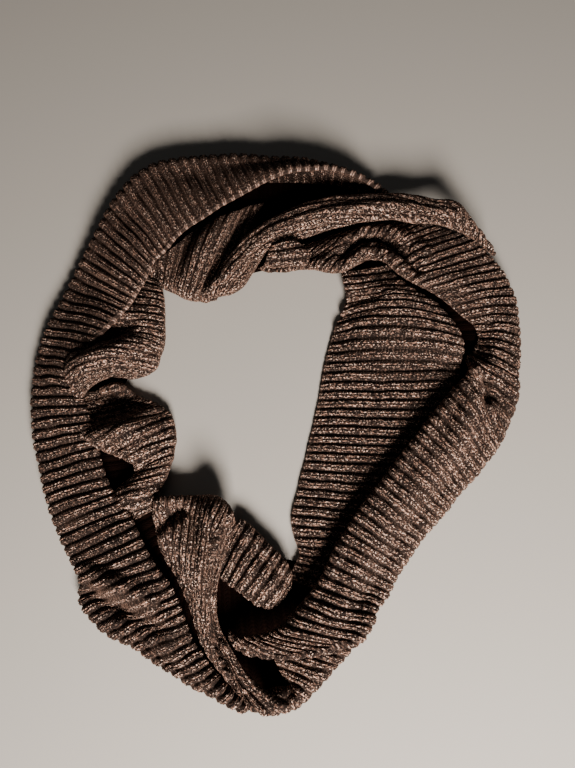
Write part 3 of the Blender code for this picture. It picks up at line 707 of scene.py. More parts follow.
class Wall:
    """The closed wall of one stretch: a fine right side, a plainer back and rims between."""

    back_every = 3  # the back has a point for every third of the right side's
    map_rows = (0.01, 0.99)  # where the rows lie on the flat map
    map_sides = ((0.01, 0.72), (0.75, 0.99))  # where the right side and the back lie across it

    def __init__(self, outer: Grid, inner: Grid, marks: dict[str, Grid]) -> None:
        """Takes the two sides.

        Args:
            outer: the points of the right side.
            inner: the points of the back, at the same places as every third of them.
            marks: values on the right side that the yarn reads, by name.
        """
        self.outer = outer
        self.inner = inner
        self.marks = marks

    @staticmethod
    def sheet(numbers: Grid) -> Grid:
        """The four corners of each cell of a grid of point numbers."""
        cells = [numbers[:-1, :-1], numbers[:-1, 1:], numbers[1:, 1:], numbers[1:, :-1]]
        return np.stack(cells, axis=-1).reshape(-1, 4)

    def rim(self, fine: Grid, coarse: Grid) -> list[tuple[int, ...]]:
        """Faces between a fine row of point numbers and the back's coarse one beside it.

        Args:
            fine: the numbers along the right side's edge.
            coarse: the numbers along the back's edge.

        Returns:
            The faces' corners.
        """
        faces = []
        for k in range(len(coarse) - 1):
            run = fine[k * self.back_every : (k + 1) * self.back_every + 1].tolist()
            faces += [(run[i], run[i + 1], int(coarse[k])) for i in range(len(run) - 1)]
            faces.append((run[-1], int(coarse[k + 1]), int(coarse[k])))
        return faces

    def made(self, name: str) -> bpy.types.Object:
        """Makes the wall in metres, with its faces turned outwards and the marks on its points.

        Args:
            name: what the object is called.

        Returns:
            The object.
        """
        points = np.concatenate([self.outer.reshape(-1, 3), self.inner.reshape(-1, 3)])
        a = np.arange(self.outer[..., 0].size).reshape(self.outer.shape[:2])
        b = a.size + np.arange(self.inner[..., 0].size).reshape(self.inner.shape[:2])
        quads = np.concatenate([self.sheet(a), self.sheet(b)[:, ::-1]])
        rims = self.rim(a[:, 0], b[:, 0]) + self.rim(a[-1], b[-1])
        rims += [face[::-1] for face in self.rim(a[:, -1], b[:, -1]) + self.rim(a[0], b[0])]
        corners = np.concatenate([quads.reshape(-1), np.array(rims).reshape(-1)])
        sizes = np.concatenate([np.full(len(quads), 4), np.full(len(rims), 3)])
        mesh = self.mesh_of(name, points * MM, corners, sizes)
        every = self.back_every
        marks = {}
        for mark, values in self.marks.items():
            back = values[::every, ::every]
            marks[mark] = np.concatenate([values.reshape(a.size, -1), back.reshape(b.size, -1)])
        add_marks(mesh, marks)
        self.unwrap(mesh, a, b, corners)
        return placed(name, mesh)

    @staticmethod
    def mesh_of(name: str, points: Grid, corners: Grid, sizes: Grid) -> bpy.types.Mesh:
        """Makes a smooth mesh, turned so that it holds a positive volume.

        Args:
            name: what the mesh is called.
            points: its points.
            corners: the points' numbers round each face, one face after another, turned in place.
            sizes: how many corners each face has.

        Returns:
            The mesh.
        """
        starts = np.concatenate([[0], np.cumsum(sizes)[:-1]])
        first, second = points[corners[starts]], points[corners[starts + 1]]
        third = points[corners[starts + 2]]
        volume = np.einsum("ij,ij->i", first, np.cross(second, third)).sum()
        four = sizes == 4
        last = points[corners[starts[four] + 3]]
        volume += np.einsum("ij,ij->i", first[four], np.cross(third[four], last)).sum()
        if volume < 0:
            turned = np.arange(len(corners))
            ends = np.repeat(2 * starts + sizes - 1, sizes)
            corners[:] = corners[ends - turned]
        mesh = bpy.data.meshes.new(name)
        mesh.vertices.add(len(points))
        mesh.vertices.foreach_set("co", points.astype(np.float32).ravel())
        mesh.loops.add(len(corners))
        mesh.loops.foreach_set("vertex_index", corners.astype(np.int32))
        mesh.polygons.add(len(sizes))
        mesh.polygons.foreach_set("loop_start", starts.astype(np.int32))
        mesh.update(calc_edges=True)
        mesh.shade_smooth()
        return mesh

    def unwrap(self, mesh: bpy.types.Mesh, a: Grid, b: Grid, corners: Grid) -> None:
        """Lays the right side and the back flat on one map, side by side.

        Args:
            mesh: the wall's mesh.
            a: the numbers of the right side's points.
            b: the numbers of the back's points.
            corners: the points' numbers round each face.
        """
        shares = []
        for numbers, side in zip((a, b), self.map_sides):
            rows, across = numbers.shape
            down, right = np.linspace(*self.map_rows, rows), np.linspace(*side, across)
            shares.append(np.stack(np.meshgrid(down, right, indexing="ij"), axis=-1).reshape(-1, 2))
        place = np.concatenate(shares)[corners]
        layer = mesh.uv_layers.new(name="OFBake")
        layer.uv.foreach_set("vector", place.astype(np.float32).ravel())


@dataclass(frozen=True)
class KnitStretch:
    """A stretch of the rib knit that shows. In millimetres, and flat is the cut of what shows."""

    node: str = ""
    flat: tuple[float, float] = (0.0, 0.0)
    sections: tuple[Section, ...] = ()
    creases: tuple[Crease, ...] = ()
    lies_on: tuple[str, ...] = ("hidden_layers",)
    settle: float = 0.0  # how far it sinks onto what lies under it
    hem: Hem = Hem.NONE
    cuts: tuple[float, ...] = ()  # where it is cut into pieces, as shares of its length
    seed: int = 1
    depth: float = 1.0  # how deep its ribs stand
    taut: float = 0.8  # ribs further apart than this share of their pitch show more valley
    ribs_along: bool = False  # the ribs run from section to section, not along them
    spiral: float = 0.0  # ribs that such a stretch wins across for each rib of its length
    stitch: RibStitch = RibStitch()
    step: float = 3.2  # between the points across, before they are refined
    fine: tuple[int, int] = (6, 3)  # steps in half a rib, and from one point across to the next
    usual: float = 0.8  # the points across are counted on a section longer than this share of them
    points: tuple[int, int, int] = (17, 5, 61)  # on a roll, a tuck and the top, to measure them
    roll_width: float = 0.6  # half width of a rolled edge over its depth
    roll_most: float = 0.42  # and over the section's length
    full_roll: float = 4.0  # an edge that is less deep is only partly a roll
    tuck: float = 5.0  # how far a rolled edge comes back under itself
    tuck_most: float = 0.4  # and at most, over the section's length
    full_tuck: float = 6.0  # a roll that is less deep is tucked less
    cost_of_turn: float = 2.0  # millimetres that a radian of roll counts as, when points are spread
    settles_from: float = 8.0  # cloth lower than this settles less
    edge_relief: float = 0.2  # share of the ribs' height that is left where the cloth turns down
    level: float = 0.7  # cloth that faces up by more than this has its ribs in full
    rim_relief: float = 0.35  # how far the ribs have risen at the wall's rims, before it is eased
    rim_points: float = 3.0  # they are full so many points across from there
    crowded: tuple[float, float] = (0.2, 0.75)  # ribs stand lower between these shares of a pitch
    spreads: float = 1.6  # how soon a valley opens as the ribs are pulled apart
    wave: float = 0.9  # swellings of the cloth
    wave_mm: tuple[float, float] = (38, 17)
    wander: float = 0.9  # how far a rib strays sideways
    wander_mm: tuple[float, float] = (26, 11)
    still: float = 6.0  # cloth lower than this swells and strays less
    slack: float = 0.14  # how much the ribs' height changes
    slack_mm: float = 13
    pull: float = 0.5  # how far the stitches are pulled along their rib
    pull_mm: float = 9
    hem_highlight: tuple[float, float] = (1.5, 1.4)  # a painted highlight along the hem: its strength and width

    def read_rows(self) -> Grid:
        """Reads the table at each ridge and each valley.

        Returns:
            One section for each.
        """
        table = np.array(self.sections, float)
        for height, roll in ((2, 3), (6, 7)):
            table[:, roll] = np.minimum(table[:, roll], table[:, height] - self.stitch.wall / 2)
        outer, inner = table[:, [0, 1, 2]], table[:, [4, 5, 6]]
        middle = (outer + inner) / 2
        middle[:, 2] = table[:, 8]
        steps = [np.linalg.norm(np.diff(line, axis=0), axis=1) for line in (outer, middle, inner)]
        along = np.concatenate([[0], np.cumsum(np.mean(steps, axis=0))])
        ribs = max(2, round(along[-1] / self.stitch.pitch))
        return through(table, along, np.linspace(0, along[-1], 2 * ribs + 1))

    def side_lines(self, height: Grid, roll: Grid, length: Grid) -> tuple[Grid, ...]:
        """One edge of each row, from its tuck over its roll.

        Args:
            height: the cloth's height there.
            roll: the depth of its roll.
            length: the section's length.

        Returns:
            Places from the edge, heights, the pull of the creases and the turn at each point, and
            then the roll's half width and how much of a roll it is.
        """
        on_roll, on_tuck, _ = self.points
        roll = np.clip(roll, 0, height - self.stitch.wall / 2)
        half = np.minimum(self.roll_width * roll, self.roll_most * length)
        share = eased(roll / self.full_roll)
        turn = np.linspace(0, np.pi, on_roll)[None, :]
        tuck = self.tuck * eased(roll / self.full_tuck) * np.linspace(1, 0, on_tuck)[None, :-1]
        tuck = np.minimum(tuck, self.tuck_most * length)
        level = 0 * tuck
        s = np.concatenate([half + tuck, half * (1 - np.sin(turn))], axis=1)
        z = np.concatenate([height - roll + level, height - roll * (1 + np.cos(turn)) / 2], axis=1)
        pull = np.concatenate([level, (1 - np.cos(turn)) / 2 + 0 * half], axis=1)
        turned = np.concatenate([level, 0 * half + (turn > 0)], axis=1)
        turned = turned * share * np.pi / (on_roll - 1)
        return s, z, pull, turned, half, share

    def section_lines(self, rows: Grid) -> tuple[Grid, ...]:
        """Each row's line across the cloth.

        Args:
            rows: the sections, one for each row.

        Returns:
            Distances from the outer edge, heights, the pull of the creases and the cost so far.
        """
        _, _, oz, roll_o, _, _, iz, roll_i, mz, _ = rows.T[:, :, None]
        length = np.hypot(rows[:, 4] - rows[:, 0], rows[:, 5] - rows[:, 1])[:, None]
        so, zo, po, to, ho, fo = self.side_lines(oz, roll_o, length)
        si, zi, pi, ti, hi, fi = self.side_lines(iz, roll_i, length)
        t = np.linspace(0, 1, self.points[2])[None, 1:-1]
        free_o = (1 - fo) * (3 * (mz - oz) - (iz - mz))
        free_i = (1 - fi) * (3 * (iz - mz) - (mz - oz))
        crown = mz - (oz + iz) / 2 - (free_o - free_i) / 8
        top = hermite(t, oz, free_o, iz, free_i) + crown * (16 * (t * (1 - t)) ** 2)
        s = np.concatenate([so, ho + (length - ho - hi) * t, (length - si)[:, ::-1]], axis=1)
        z = np.concatenate([zo, top, zi[:, ::-1]], axis=1)
        pull = np.concatenate([po, np.ones_like(top), pi[:, ::-1]], axis=1)
        turned = np.concatenate([to, 0 * top, ti[:, ::-1]], axis=1)
        moved = np.hypot(np.diff(s, axis=1), np.diff(z, axis=1)) + self.cost_of_turn * turned[:, 1:]
        cost = np.concatenate([np.zeros((len(s), 1)), np.cumsum(moved, axis=1)], axis=1)
        return s, z, pull, cost

    def crease_rise(self, x: Grid, y: Grid) -> Grid:
        """How far the creases lift the cloth.

        Args:
            x: the places' x.
            y: the places' y.

        Returns:
            The rise at each place.
        """
        rise = np.zeros_like(x)
        for c in self.creases:
            run = np.array([c.x1 - c.x0, c.y1 - c.y0], float)
            t = np.clip(((x - c.x0) * run[0] + (y - c.y0) * run[1]) / (run @ run), 0, 1)
            away = np.hypot(x - c.x0 - t * run[0], y - c.y0 - t * run[1])
            rise += c.rise * (1 - np.clip(away / c.half_width, 0, 1) ** 2) ** 2
        return rise

    def middle(self) -> Grid:
        """Draws the middle of the wall, before it is laid over others.

        Returns:
            A row of points across for each ridge and each valley.
        """
        rows = self.read_rows()
        s, z, pull, cost = self.section_lines(rows)
        across = max(5, math.ceil(np.quantile(cost[:, -1], self.usual) / self.step) + 1)
        grid = np.empty((len(rows), across, 3))
        for i, row in enumerate(rows):
            wanted = np.linspace(0, cost[i, -1], across)
            at_s, at_z, at_pull = (np.interp(wanted, cost[i], line[i]) for line in (s, z, pull))
            outer, inner, bow = row[0:2], row[4:6], row[9]
            length = np.hypot(*(inner - outer))
            run = (inner - outer) / length
            left = np.array([-run[1], run[0]])
            sideways = bow * 4 * (at_s / length) * (1 - at_s / length)
            grid[i, :, :2] = outer + at_s[:, None] * run + sideways[:, None] * left
            grid[i, :, 2] = at_z + at_pull * self.crease_rise(grid[i, :, 0], grid[i, :, 1])
        return grid

    def laid(self, ground: Landscape) -> Grid:
        """Lays the middle of the wall over the stretches under it, and settles it on them.

        Args:
            ground: the stretches that are already laid.

        Returns:
            The middle of the wall.
        """
        grid = ground.laid_over(self.middle(), self.lies_on, self.stitch, self.step)
        grid[..., 2] -= self.settle * eased(grid[..., 2] / self.settles_from)
        return grid

    def two_noises(self, at: tuple[Grid, Grid], sizes: tuple[float, float], seed: int) -> Grid:
        """Swellings of two sizes, the second half as strong, at a place on the cloth."""
        return unevenness(*at, sizes[0], seed) + 0.5 * unevenness(*at, sizes[1], seed + 1)

    def wall(self, ground: Landscape) -> tuple[Wall, Grid]:
        """Gives the laid cloth its ribs, its stitches and its small unevenness.

        Args:
            ground: the stretches that are already laid.

        Returns:
            The wall, and the points of its right side.
        """
        stitch = self.stitch
        base = refined(self.laid(ground), self.fine)
        rib = np.linspace(0, (len(base) - 1) / (2 * self.fine[0]), len(base))[:, None]
        rib = np.repeat(rib, base.shape[1], axis=1)
        from_outer = measured_across(base)
        along = from_outer[:, -1:] - from_outer
        edge = along if self.hem is Hem.INNER else np.full_like(along, FAR)
        if self.ribs_along:
            along, rib = rib * stitch.pitch, from_outer / stitch.pitch + self.spiral * rib
        strip = rib * stitch.pitch
        at = (along, strip)
        out, sideways = facing(base), unit(np.gradient(base, axis=0))
        still = eased(np.minimum(base[..., 2:] / self.still, 1))
        stray = self.two_noises(at, self.wander_mm, self.seed)[..., None]
        swell = self.two_noises(at, self.wave_mm, self.seed + 2)[..., None]
        base = base + still * self.wander * stray * sideways
        base = base + still * self.wave * swell * out
        out = facing(base)
        count = np.arange(base.shape[1])
        from_rim = np.minimum(count, count[::-1]) / (self.rim_points * self.fine[1])
        fade = eased(from_rim + self.rim_relief)
        apart = np.linalg.norm(np.gradient(base, axis=0), axis=2) * 2 * self.fine[0]
        close = np.clip(apart / (self.crowded[1] * stitch.pitch), self.crowded[0], 1)
        round_edge = self.edge_relief + (1 - self.edge_relief) * eased(out[..., 2] / self.level)
        loose = 1 + self.slack * unevenness(*at, self.slack_mm, self.seed + 4)
        pulled = along + self.pull * unevenness(*at, self.pull_mm, self.seed + 5)
        height = stitch.relief(rib, pulled)
        relief = height * fade * close * loose * round_edge * self.depth
        relief = np.maximum(relief, stitch.bound_off(rib, edge))
        ridge = (1 - np.abs(2 * (rib % 1) - 1)) ** 2
        outer = base + out * (stitch.wall / 2 + relief)[..., None]
        back = base - out * (stitch.wall / 2 + stitch.back * ridge)[..., None]
        outer[..., 2] = np.maximum(outer[..., 2], 0)
        inner = back[:: Wall.back_every, :: Wall.back_every].copy()
        inner[..., 2] = np.maximum(inner[..., 2], 0)
        spread = 0 if self.ribs_along else self.spreads
        strength, width = self.hem_highlight
        # The relief, hem, spread and depth marks place the yarn's painted shade in the valleys and
        # its painted highlight along the hem
        marks = {
            "yarn": np.stack([pulled, strip, 0 * rib + self.seed], axis=-1),
            "relief": 1 - close * (1 - np.clip(height / (stitch.rib + stitch.leg), 0, 1)),
            "hem": np.clip(strength - edge / width, 0, 1),
            "spread": np.clip(spread * (apart / stitch.pitch - self.taut), 0, 1),
            "depth": self.depth * close,
        }
        return Wall(outer, inner, marks), outer

    def build(self, ground: Landscape, material: bpy.types.Material) -> list[bpy.types.Object]:
        """Makes the stretch's pieces and adds them to the landscape.

        Args:
            ground: the stretches that are already laid.
            material: the yarn.

        Returns:
            The pieces, in order along the strip.
        """
        wall, outer = self.wall(ground)
        ground.add(self.node, outer)
        last = len(outer) - 1
        step = 2 * self.fine[0]
        ends = [0] + [round(cut * last / step) * step for cut in self.cuts] + [last]
        made = []
        for k, (start, end) in enumerate(zip(ends[:-1], ends[1:])):
            rows = slice(start, end + 1)
            back = slice(start // Wall.back_every, end // Wall.back_every + 1)
            marks = {name: values[rows] for name, values in wall.marks.items()}
            name = f"{self.node}_knit" + (f"_{k + 1}" if self.cuts else "")
            piece = Wall(outer[rows], wall.inner[back], marks).made(name)
            dress(piece, self.node, material)
            made.append(piece)
        return made


@dataclass(frozen=True)
class LeftBand(KnitStretch):
    """The band down the left, from the far side round to the near side, its inner edge a hem."""

    node: str = "left_band"
    flat: tuple[float, float] = (76, 782)
    lies_on: tuple[str, ...] = ("upper_left_folds",)
    settle: float = 0.2
    hem: Hem = Hem.INNER
    cuts: tuple[float, ...] = (0.5,)
    seed: int = 10
    depth: float = 1.25
    taut: float = 0.55
    sections: tuple[Section, ...] = rows_of(
        Section,
        (108, 208, 12, FLAT, 105, 206, 13, 0, 13),
        (98, 214, 16, FLAT, 95, 210, 18, 0, 17),
        (80, 223, 21, FLAT, 78, 217, 26, 0, 24),
        (58, 231, 25, FLAT, 57, 223, 31, 0, 28),
        (34, 238, 26, FLAT, 36, 223, 33, 0, 30),
        (8, 244, 25, FLAT, 13, 219, 34, 0, 31),
        (-20, 247, 24, FLAT, -8, 211, 34, 0, 31),
        (-50, 248, 23, FLAT, -30, 199, 33, 0, 30),
        (-78, 246, 22, FLAT, -51, 187, 31, 0, 28),
        (-104, 243, 21, FLAT, -70, 174, 30, 0, 27),
        (-124, 238, 20, FLAT, -85, 165, 29, 0, 26),
        (-142, 226, 20, FLAT, -97, 154, 28, 0, 25),
        (-156, 208, 19, FLAT, -108, 142, 27, 0, 25),
        (-168, 186, 18, FLAT, -117, 130, 26, 0, 24),
        (-178, 163, 18, FLAT, -123, 114, 26, 0, 24),
        (-187, 144, 13, FLAT, -129, 102, 26, 0, 24),
        (-195, 124, 10, FLAT, -136, 89, 26, 0, 18),
        (-205, 100, 10, FLAT, -146, 77, 26, 0, 18),
        (-213, 81, 10, FLAT, -158, 63, 26, 0, 18),
        (-219, 63, 10, FLAT, -171, 50, 24, 0, 18),
        (-223, 45, 10, FLAT, -181, 36, 22, 0, 18),
        (-225, 25, 10, FLAT, -185, 19, 19, 5, 18),
        (-224, 6, 10, FLAT, -178, 3, 18, 9, 18),
        (-222, -15, 10, FLAT, -172, -11, 18, 9, 18),
        (-219, -35, 10, FLAT, -165, -27, 19, 9, 18),
        (-213, -55, 10, FLAT, -160, -41, 19, 5, 18),
        (-207, -74, 10, FLAT, -155, -58, 18, 4, 18),
        (-201, -91, 10, FLAT, -148, -75, 17, 5, 18),
        (-195, -107, 10, FLAT, -141, -86, 17, 5, 18),
        (-188, -122, 10, FLAT, -130, -98, 18, 5, 19),
        (-180, -135, 10, FLAT, -124, -109, 19, 6, 20),
        (-173, -145, 10, FLAT, -118, -120, 20, 7, 22),
        (-169, -155, 11, FLAT, -111, -132, 20, 7, 23),
        (-168, -169, 13, FLAT, -102, -145, 19, 7, 22),
        (-162, -179, 12, FLAT, -93, -156, 18, 6, 20),
        (-152, -189, 12, FLAT, -87, -166, 17, 6, 19),
        (-137, -199, 12, FLAT, -82, -177, 17, 6, 18),
        (-120, -206, 12, FLAT, -77, -189, 16, 5, 18),
        (-105, -216, 12, FLAT, -72, -202, 13, 4, 17),
        (-89, -225, 12, FLAT, -62, -214, 9, 1, 15),
        (-73, -236, 11, FLAT, -53, -227, 4, 0, 12),
        (-54, -244, 10, FLAT, -43, -238, 3, 0, 10),
        (-39, -252, 9, FLAT, -31, -248, 2, 0, 8),
        (-28, -257, 5, FLAT, -20, -255, 2, 0, 4),
    )
    creases: tuple[Crease, ...] = rows_of(
        Crease,
        (-159, -144, -133, -155, 9, 3),
        (-133, -155, -106, -169, 9, 3),
        (-170, -147, -108, -163, 13, 4),
        (-159, -164, -133, -177, 12, -7),
        (-133, -177, -98, -192, 12, -7),
        (-205, -120, -140, -100, 9, -2),
        (-200, -30, -180, -80, 14, -2),
        (-150, 185, -110, 150, 16, -3),
        (-85, 225, -60, 200, 16, -2),
    )


@dataclass(frozen=True)
class UpperLobe(KnitStretch):
    """The fold that swells into the ring on its left, above the deep cleft."""

    node: str = "upper_lobe"
    flat: tuple[float, float] = (83, 147)
    lies_on: tuple[str, ...] = ("hidden_layers", "lower_lobe")
    settle: float = 0.1
    seed: int = 20
    depth: float = 0.8
    sections: tuple[Section, ...] = rows_of(
        Section,
        (-132, 142, 6, 0, -115, 125, 6, 3, 7),
        (-138, 131, 8, 0, -113, 115, 9, 4, 9),
        (-144, 117, 9, 0, -111, 108, 13, FLAT, 12),
        (-150, 106, 10, 0, -109, 99, 15, FLAT, 13),
        (-156, 94, 10, 0, -108, 88, 16, FLAT, 13),
        (-166, 82, 6, 0, -107, 76, 17, FLAT, 12),
        (-175, 70, 3, 0, -106, 65, 18, FLAT, 6, 2),
        (-184, 58, 3, 0, -106, 56, 19, FLAT, 6, 4),
        (-190, 46, 5, 0, -107, 50, 20, FLAT, 15, 6),
        (-190, 31, 15, 0, -110, 42, 20, FLAT, 25, 7),
        (-189, 21, 18, 0, -112, 34, 19, FLAT, 26, 8),
        (-185, 13, 18, 0, -118, 29, 17, FLAT, 22, 8),
        (-182, 7, 15, 3, -126, 26, 13, FLAT, 15, 8),
        (-178, 4, 9, 3, -136, 24, 8, 5, 9, 8),
    )
    creases: tuple[Crease, ...] = rows_of(
        Crease,
        (-173, 48, -155, 62, 10, -5),
        (-155, 62, -137, 70, 11, -5),
        (-174, 21, -150, 39, 12, 2),
        (-150, 39, -121, 52, 12, 2),
    )


@dataclass(frozen=True)
class LowerLobe(KnitStretch):
    """The fold that swells into the ring on its left, below the deep cleft."""

    node: str = "lower_lobe"
    flat: tuple[float, float] = (71, 156)
    settle: float = 0.1
    seed: int = 30
    depth: float = 0.9
    sections: tuple[Section, ...] = rows_of(
        Section,
        (-181, 10, 3, 0, -146, 20, 3, 1, 3),
        (-184, 2, 4, 0, -138, 13, 3, 1, 2),
        (-187, -7, 4, 0, -130, 7, 3, 1, 2),
        (-183, -17, 6, 0, -122, 3, 3, 1, 2),
        (-175, -28, 14, 6, -113, 0, 4, 1, 8),
        (-166, -35, 19, 8, -105, -5, 5, 2, 23),
        (-158, -41, 19, 10, -99, -11, 8, FLAT, 25),
        (-149, -45, 19, 13, -96, -18, 11, FLAT, 24),
        (-140, -48, 19, 13, -94, -26, 14, FLAT, 22),
        (-132, -52, 18, 12, -93, -34, 16, FLAT, 22),
        (-126, -57, 13, 9, -94, -41, 17, FLAT, 17),
        (-128, -65, 5, 2, -94, -48, 17, FLAT, 12),
        (-136, -72, 4, 0, -96, -56, 16, FLAT, 11),
        (-143, -79, 6, 0, -98, -64, 15, FLAT, 12),
        (-143, -86, 8, 0, -102, -73, 14, FLAT, 15),
        (-138, -93, 9, 0, -106, -82, 13, FLAT, 15),
        (-133, -99, 7, 0, -109, -89, 9, FLAT, 11),
        (-128, -104, 4, 0, -112, -96, 4, 2, 5),
    )
    creases: tuple[Crease, ...] = rows_of(
        Crease,
        (-159, 11, -148, 13, 5, 9),
        (-148, 13, -136, 14, 5, 9),
        (-158, -34, -135, -26, 13, 3),
        (-135, -26, -104, -24, 13, 3),
    )


@dataclass(frozen=True)
class TentLobe(KnitStretch):
    """The small fold under the tent's right side."""

    node: str = "tent_lobe"
    flat: tuple[float, float] = (74, 74)
    settle: float = 1.8
    seed: int = 40
    sections: tuple[Section, ...] = rows_of(
        Section,
        (-51, -140, 7, 0, -34, -103, 10, 4, 10),
        (-48, -150, 11, 5, -26, -107, 15, FLAT, 15),
        (-41, -156, 15, 8, -17, -115, 17, FLAT, 19),
        (-33, -161, 18, 11, -8, -124, 17, FLAT, 22),
        (-24, -168, 19, 12, 1, -132, 17, FLAT, 23),
        (-15, -173, 19, 12, 8, -140, 16, FLAT, 22),
        (-6, -174, 17, 10, 11, -149, 13, FLAT, 18),
        (2, -170, 9, 5, 10, -159, 8, 5, 9),
    )


@dataclass(frozen=True)
class CentreTent(KnitStretch):
    """The raised fold that runs from the lobes down to the near end."""

    node: str = "centre_tent"
    flat: tuple[float, float] = (163, 138)
    lies_on: tuple[str, ...] = ("hidden_layers", "tent_lobe", "lower_lobe", "bottom_under_layer")
    settle: float = 0.8
    seed: int = 50
    depth: float = 1.1
    sections: tuple[Section, ...] = rows_of(
        Section,
        (-107, -89, 7, 4, -102, -125, 8, 3, 11, -2),
        (-101, -86, 9, FLAT, -95, -136, 13, 8, 18, -2),
        (-91, -84, 12, FLAT, -86, -147, 17, 11, 25, -2),
        (-81, -83, 16, FLAT, -78, -160, 20, 13, 30, -2),
        (-71, -83, 22, FLAT, -71, -176, 21, 13, 32, -2),
        (-62, -83, 30, FLAT, -63, -197, 21, 13, 34, -4),
        (-54, -84, 36, FLAT, -54, -214, 19, 13, 36, -8),
        (-48, -87, 35, FLAT, -42, -226, 16, 12, 34, -15),
        (-43, -91, 29, FLAT, -29, -238, 14, 10, 30, -22),
        (-39, -97, 22, 12, -17, -249, 13, 9, 24, -29),
        (-38, -103, 16, 8, -5, -251, 12, 9, 19, -33),
        (-36, -109, 10, 4, 10, -245, 12, 6, 15, -37),
    )
    creases: tuple[Crease, ...] = rows_of(
        Crease,
        (-84, -96, -102, -109, 10, -8),
        (-90, -99, -82, -135, 12, -3),
        (-50, -86, -51, -123, 7, 3),
        (-51, -123, -52, -166, 7, 3),
        (-52, -166, -44, -204, 7, 3),
        (-44, -204, -26, -231, 7, 3),
        (-42, -107, -45, -136, 6, -5),
        (-45, -136, -47, -167, 6, -5),
        (-67, -167, -59, -198, 6, 2),
        (-59, -198, -41, -223, 6, 2),
    )


@dataclass(frozen=True)
class BottomUnderLayer(KnitStretch):
    """The layer that shows under the near end."""

    node: str = "bottom_under_layer"
    flat: tuple[float, float] = (57, 92)
    settle: float = 0.1
    seed: int = 60
    sections: tuple[Section, ...] = rows_of(
        Section,
        (67, -200, 13, FLAT, 37, -189, 8, 0, 12),
        (60, -208, 14, FLAT, 26, -197, 6, 0, 12),
        (54, -215, 15, FLAT, 17, -206, 4, FLAT, 11),
        (46, -223, 15, FLAT, -1, -214, 3, FLAT, 11),
        (38, -231, 15, FLAT, 2, -221, 3, FLAT, 10),
        (30, -239, 15, FLAT, 6, -228, 3, FLAT, 10),
        (22, -246, 15, FLAT, 11, -235, 4, FLAT, 10),
        (14, -251, 14, FLAT, 9, -238, 11, FLAT, 13),
        (5, -254, 14, FLAT, -3, -239, 12, FLAT, 13),
        (-6, -257, 12, FLAT, -14, -244, 10, 0, 12),
    )


@dataclass(frozen=True)
class RightInnerPanel(KnitStretch):
    """The panel that lies inside the ring on its right, its inner edge a hem on the floor."""

    node: str = "right_inner_panel"
    flat: tuple[float, float] = (92, 331)
    settle: float = 0.8
    hem: Hem = Hem.INNER
    seed: int = 70
    depth: float = 1.1
    sections: tuple[Section, ...] = rows_of(
        Section,
        (106, 137, 3, 0, 62, 130, 3, 1, 3),
        (108, 126, 6, 3, 63, 121, 7, 4, 7),
        (119, 112, 12, 7, 64, 112, 8, 5, 12),
        (134, 100, 16, 10, 65, 103, 8, 5, 17, -3),
        (148, 89, 19, 13, 63, 94, 7, 4, 20, -6),
        (158, 77, 21, 15, 59, 84, 5, 2, 21, -8),
        (165, 66, 22, 16, 54, 74, 4, 1, 21, -8),
        (168, 55, 22, 16, 50, 64, 1, 0, 20, -6),
        (168, 47, 20, 14, 47, 53, 1, 0, 17, -4),
        (166, 39, 14, 8, 44, 42, 1, 0, 13, -2),
        (160, 16, 9, 0, 39, 17, 1, 0, 10),
        (153, 2, 9, 0, 37, 4, 1, 0, 10),
        (146, -13, 9, 0, 34, -9, 1, 0, 10),
        (137, -28, 9, 0, 31, -23, 1, 0, 10),
        (126, -43, 9, 0, 27, -38, 1, 0, 10),
        (115, -58, 9, 0, 24, -52, 1, 0, 10),
        (104, -72, 9, 0, 20, -66, 1, 0, 10),
        (93, -86, 9, 0, 17, -80, 1, 0, 10),
        (82, -100, 9, 0, 13, -94, 1, 0, 10),
        (71, -113, 9, 0, 12, -107, 1, 0, 9),
        (61, -125, 9, 0, 15, -120, 1, 0, 8),
        (52, -137, 8, 0, 19, -132, 1, 0, 6),
        (43, -149, 7, 0, 14, -142, 1, 0, 5),
        (34, -162, 6, 0, 9, -154, 1, 0, 4),
    )
    creases: tuple[Crease, ...] = rows_of(
        Crease,
        (66, 97, 94, 101, 9, -4),
        (58, 83, 88, 84, 8, -2.5),
        (149, 35, 177, 39, 8, -3),
    )


@dataclass(frozen=True)
class TurnedCorner(KnitStretch):
    """The little corner turned up at the far side of the hole."""

    node: str = "turned_corner"
    flat: tuple[float, float] = (35, 28)
    lies_on: tuple[str, ...] = ("hidden_layers", "right_band")
    settle: float = 0.9
    seed: int = 80
    sections: tuple[Section, ...] = rows_of(
        Section,
        (-7, 150, 14, 0, 14, 154, 15, 0, 16),
        (-9, 144, 15, 0, 22, 147, 15, 0, 17),
        (-11, 138, 15, 0, 28, 140, 15, 0, 16),
        (-13, 133, 12, 0, 28, 134, 12, 0, 13),
        (-15, 131, 6, 0, 24, 131, 6, 0, 7),
    )


@dataclass(frozen=True)
class UpperLeftFolds(KnitStretch):
    """The folds that hang into the hole at its far left."""

    node: str = "upper_left_folds"
    flat: tuple[float, float] = (88, 110)
    seed: int = 90
    sections: tuple[Section, ...] = rows_of(
        Section,
        (-126, 131, 9, 0, -121, 115, 6, 3, 8),
        (-114, 142, 11, 0, -114, 114, 9, FLAT, 11),
        (-103, 152, 11, 0, -107, 110, 11, FLAT, 12),
        (-93, 165, 6, 0, -102, 108, 11, FLAT, 8),
        (-82, 175, 4, 0, -97, 106, 12, FLAT, 7),
        (-70, 178, 10, 0, -91, 103, 15, FLAT, 19),
        (-59, 180, 17, 0, -86, 102, 16, FLAT, 24),
        (-49, 183, 19, 0, -81, 101, 15, FLAT, 25),
        (-40, 190, 13, 0, -75, 101, 13, FLAT, 19),
        (-32, 198, 5, 0, -70, 100, 10, FLAT, 8),
        (-23, 201, 3, 0, -64, 102, 7, 4, 3),
        (-15, 203, 2, 0, -60, 103, 4, 2, 2),
    )


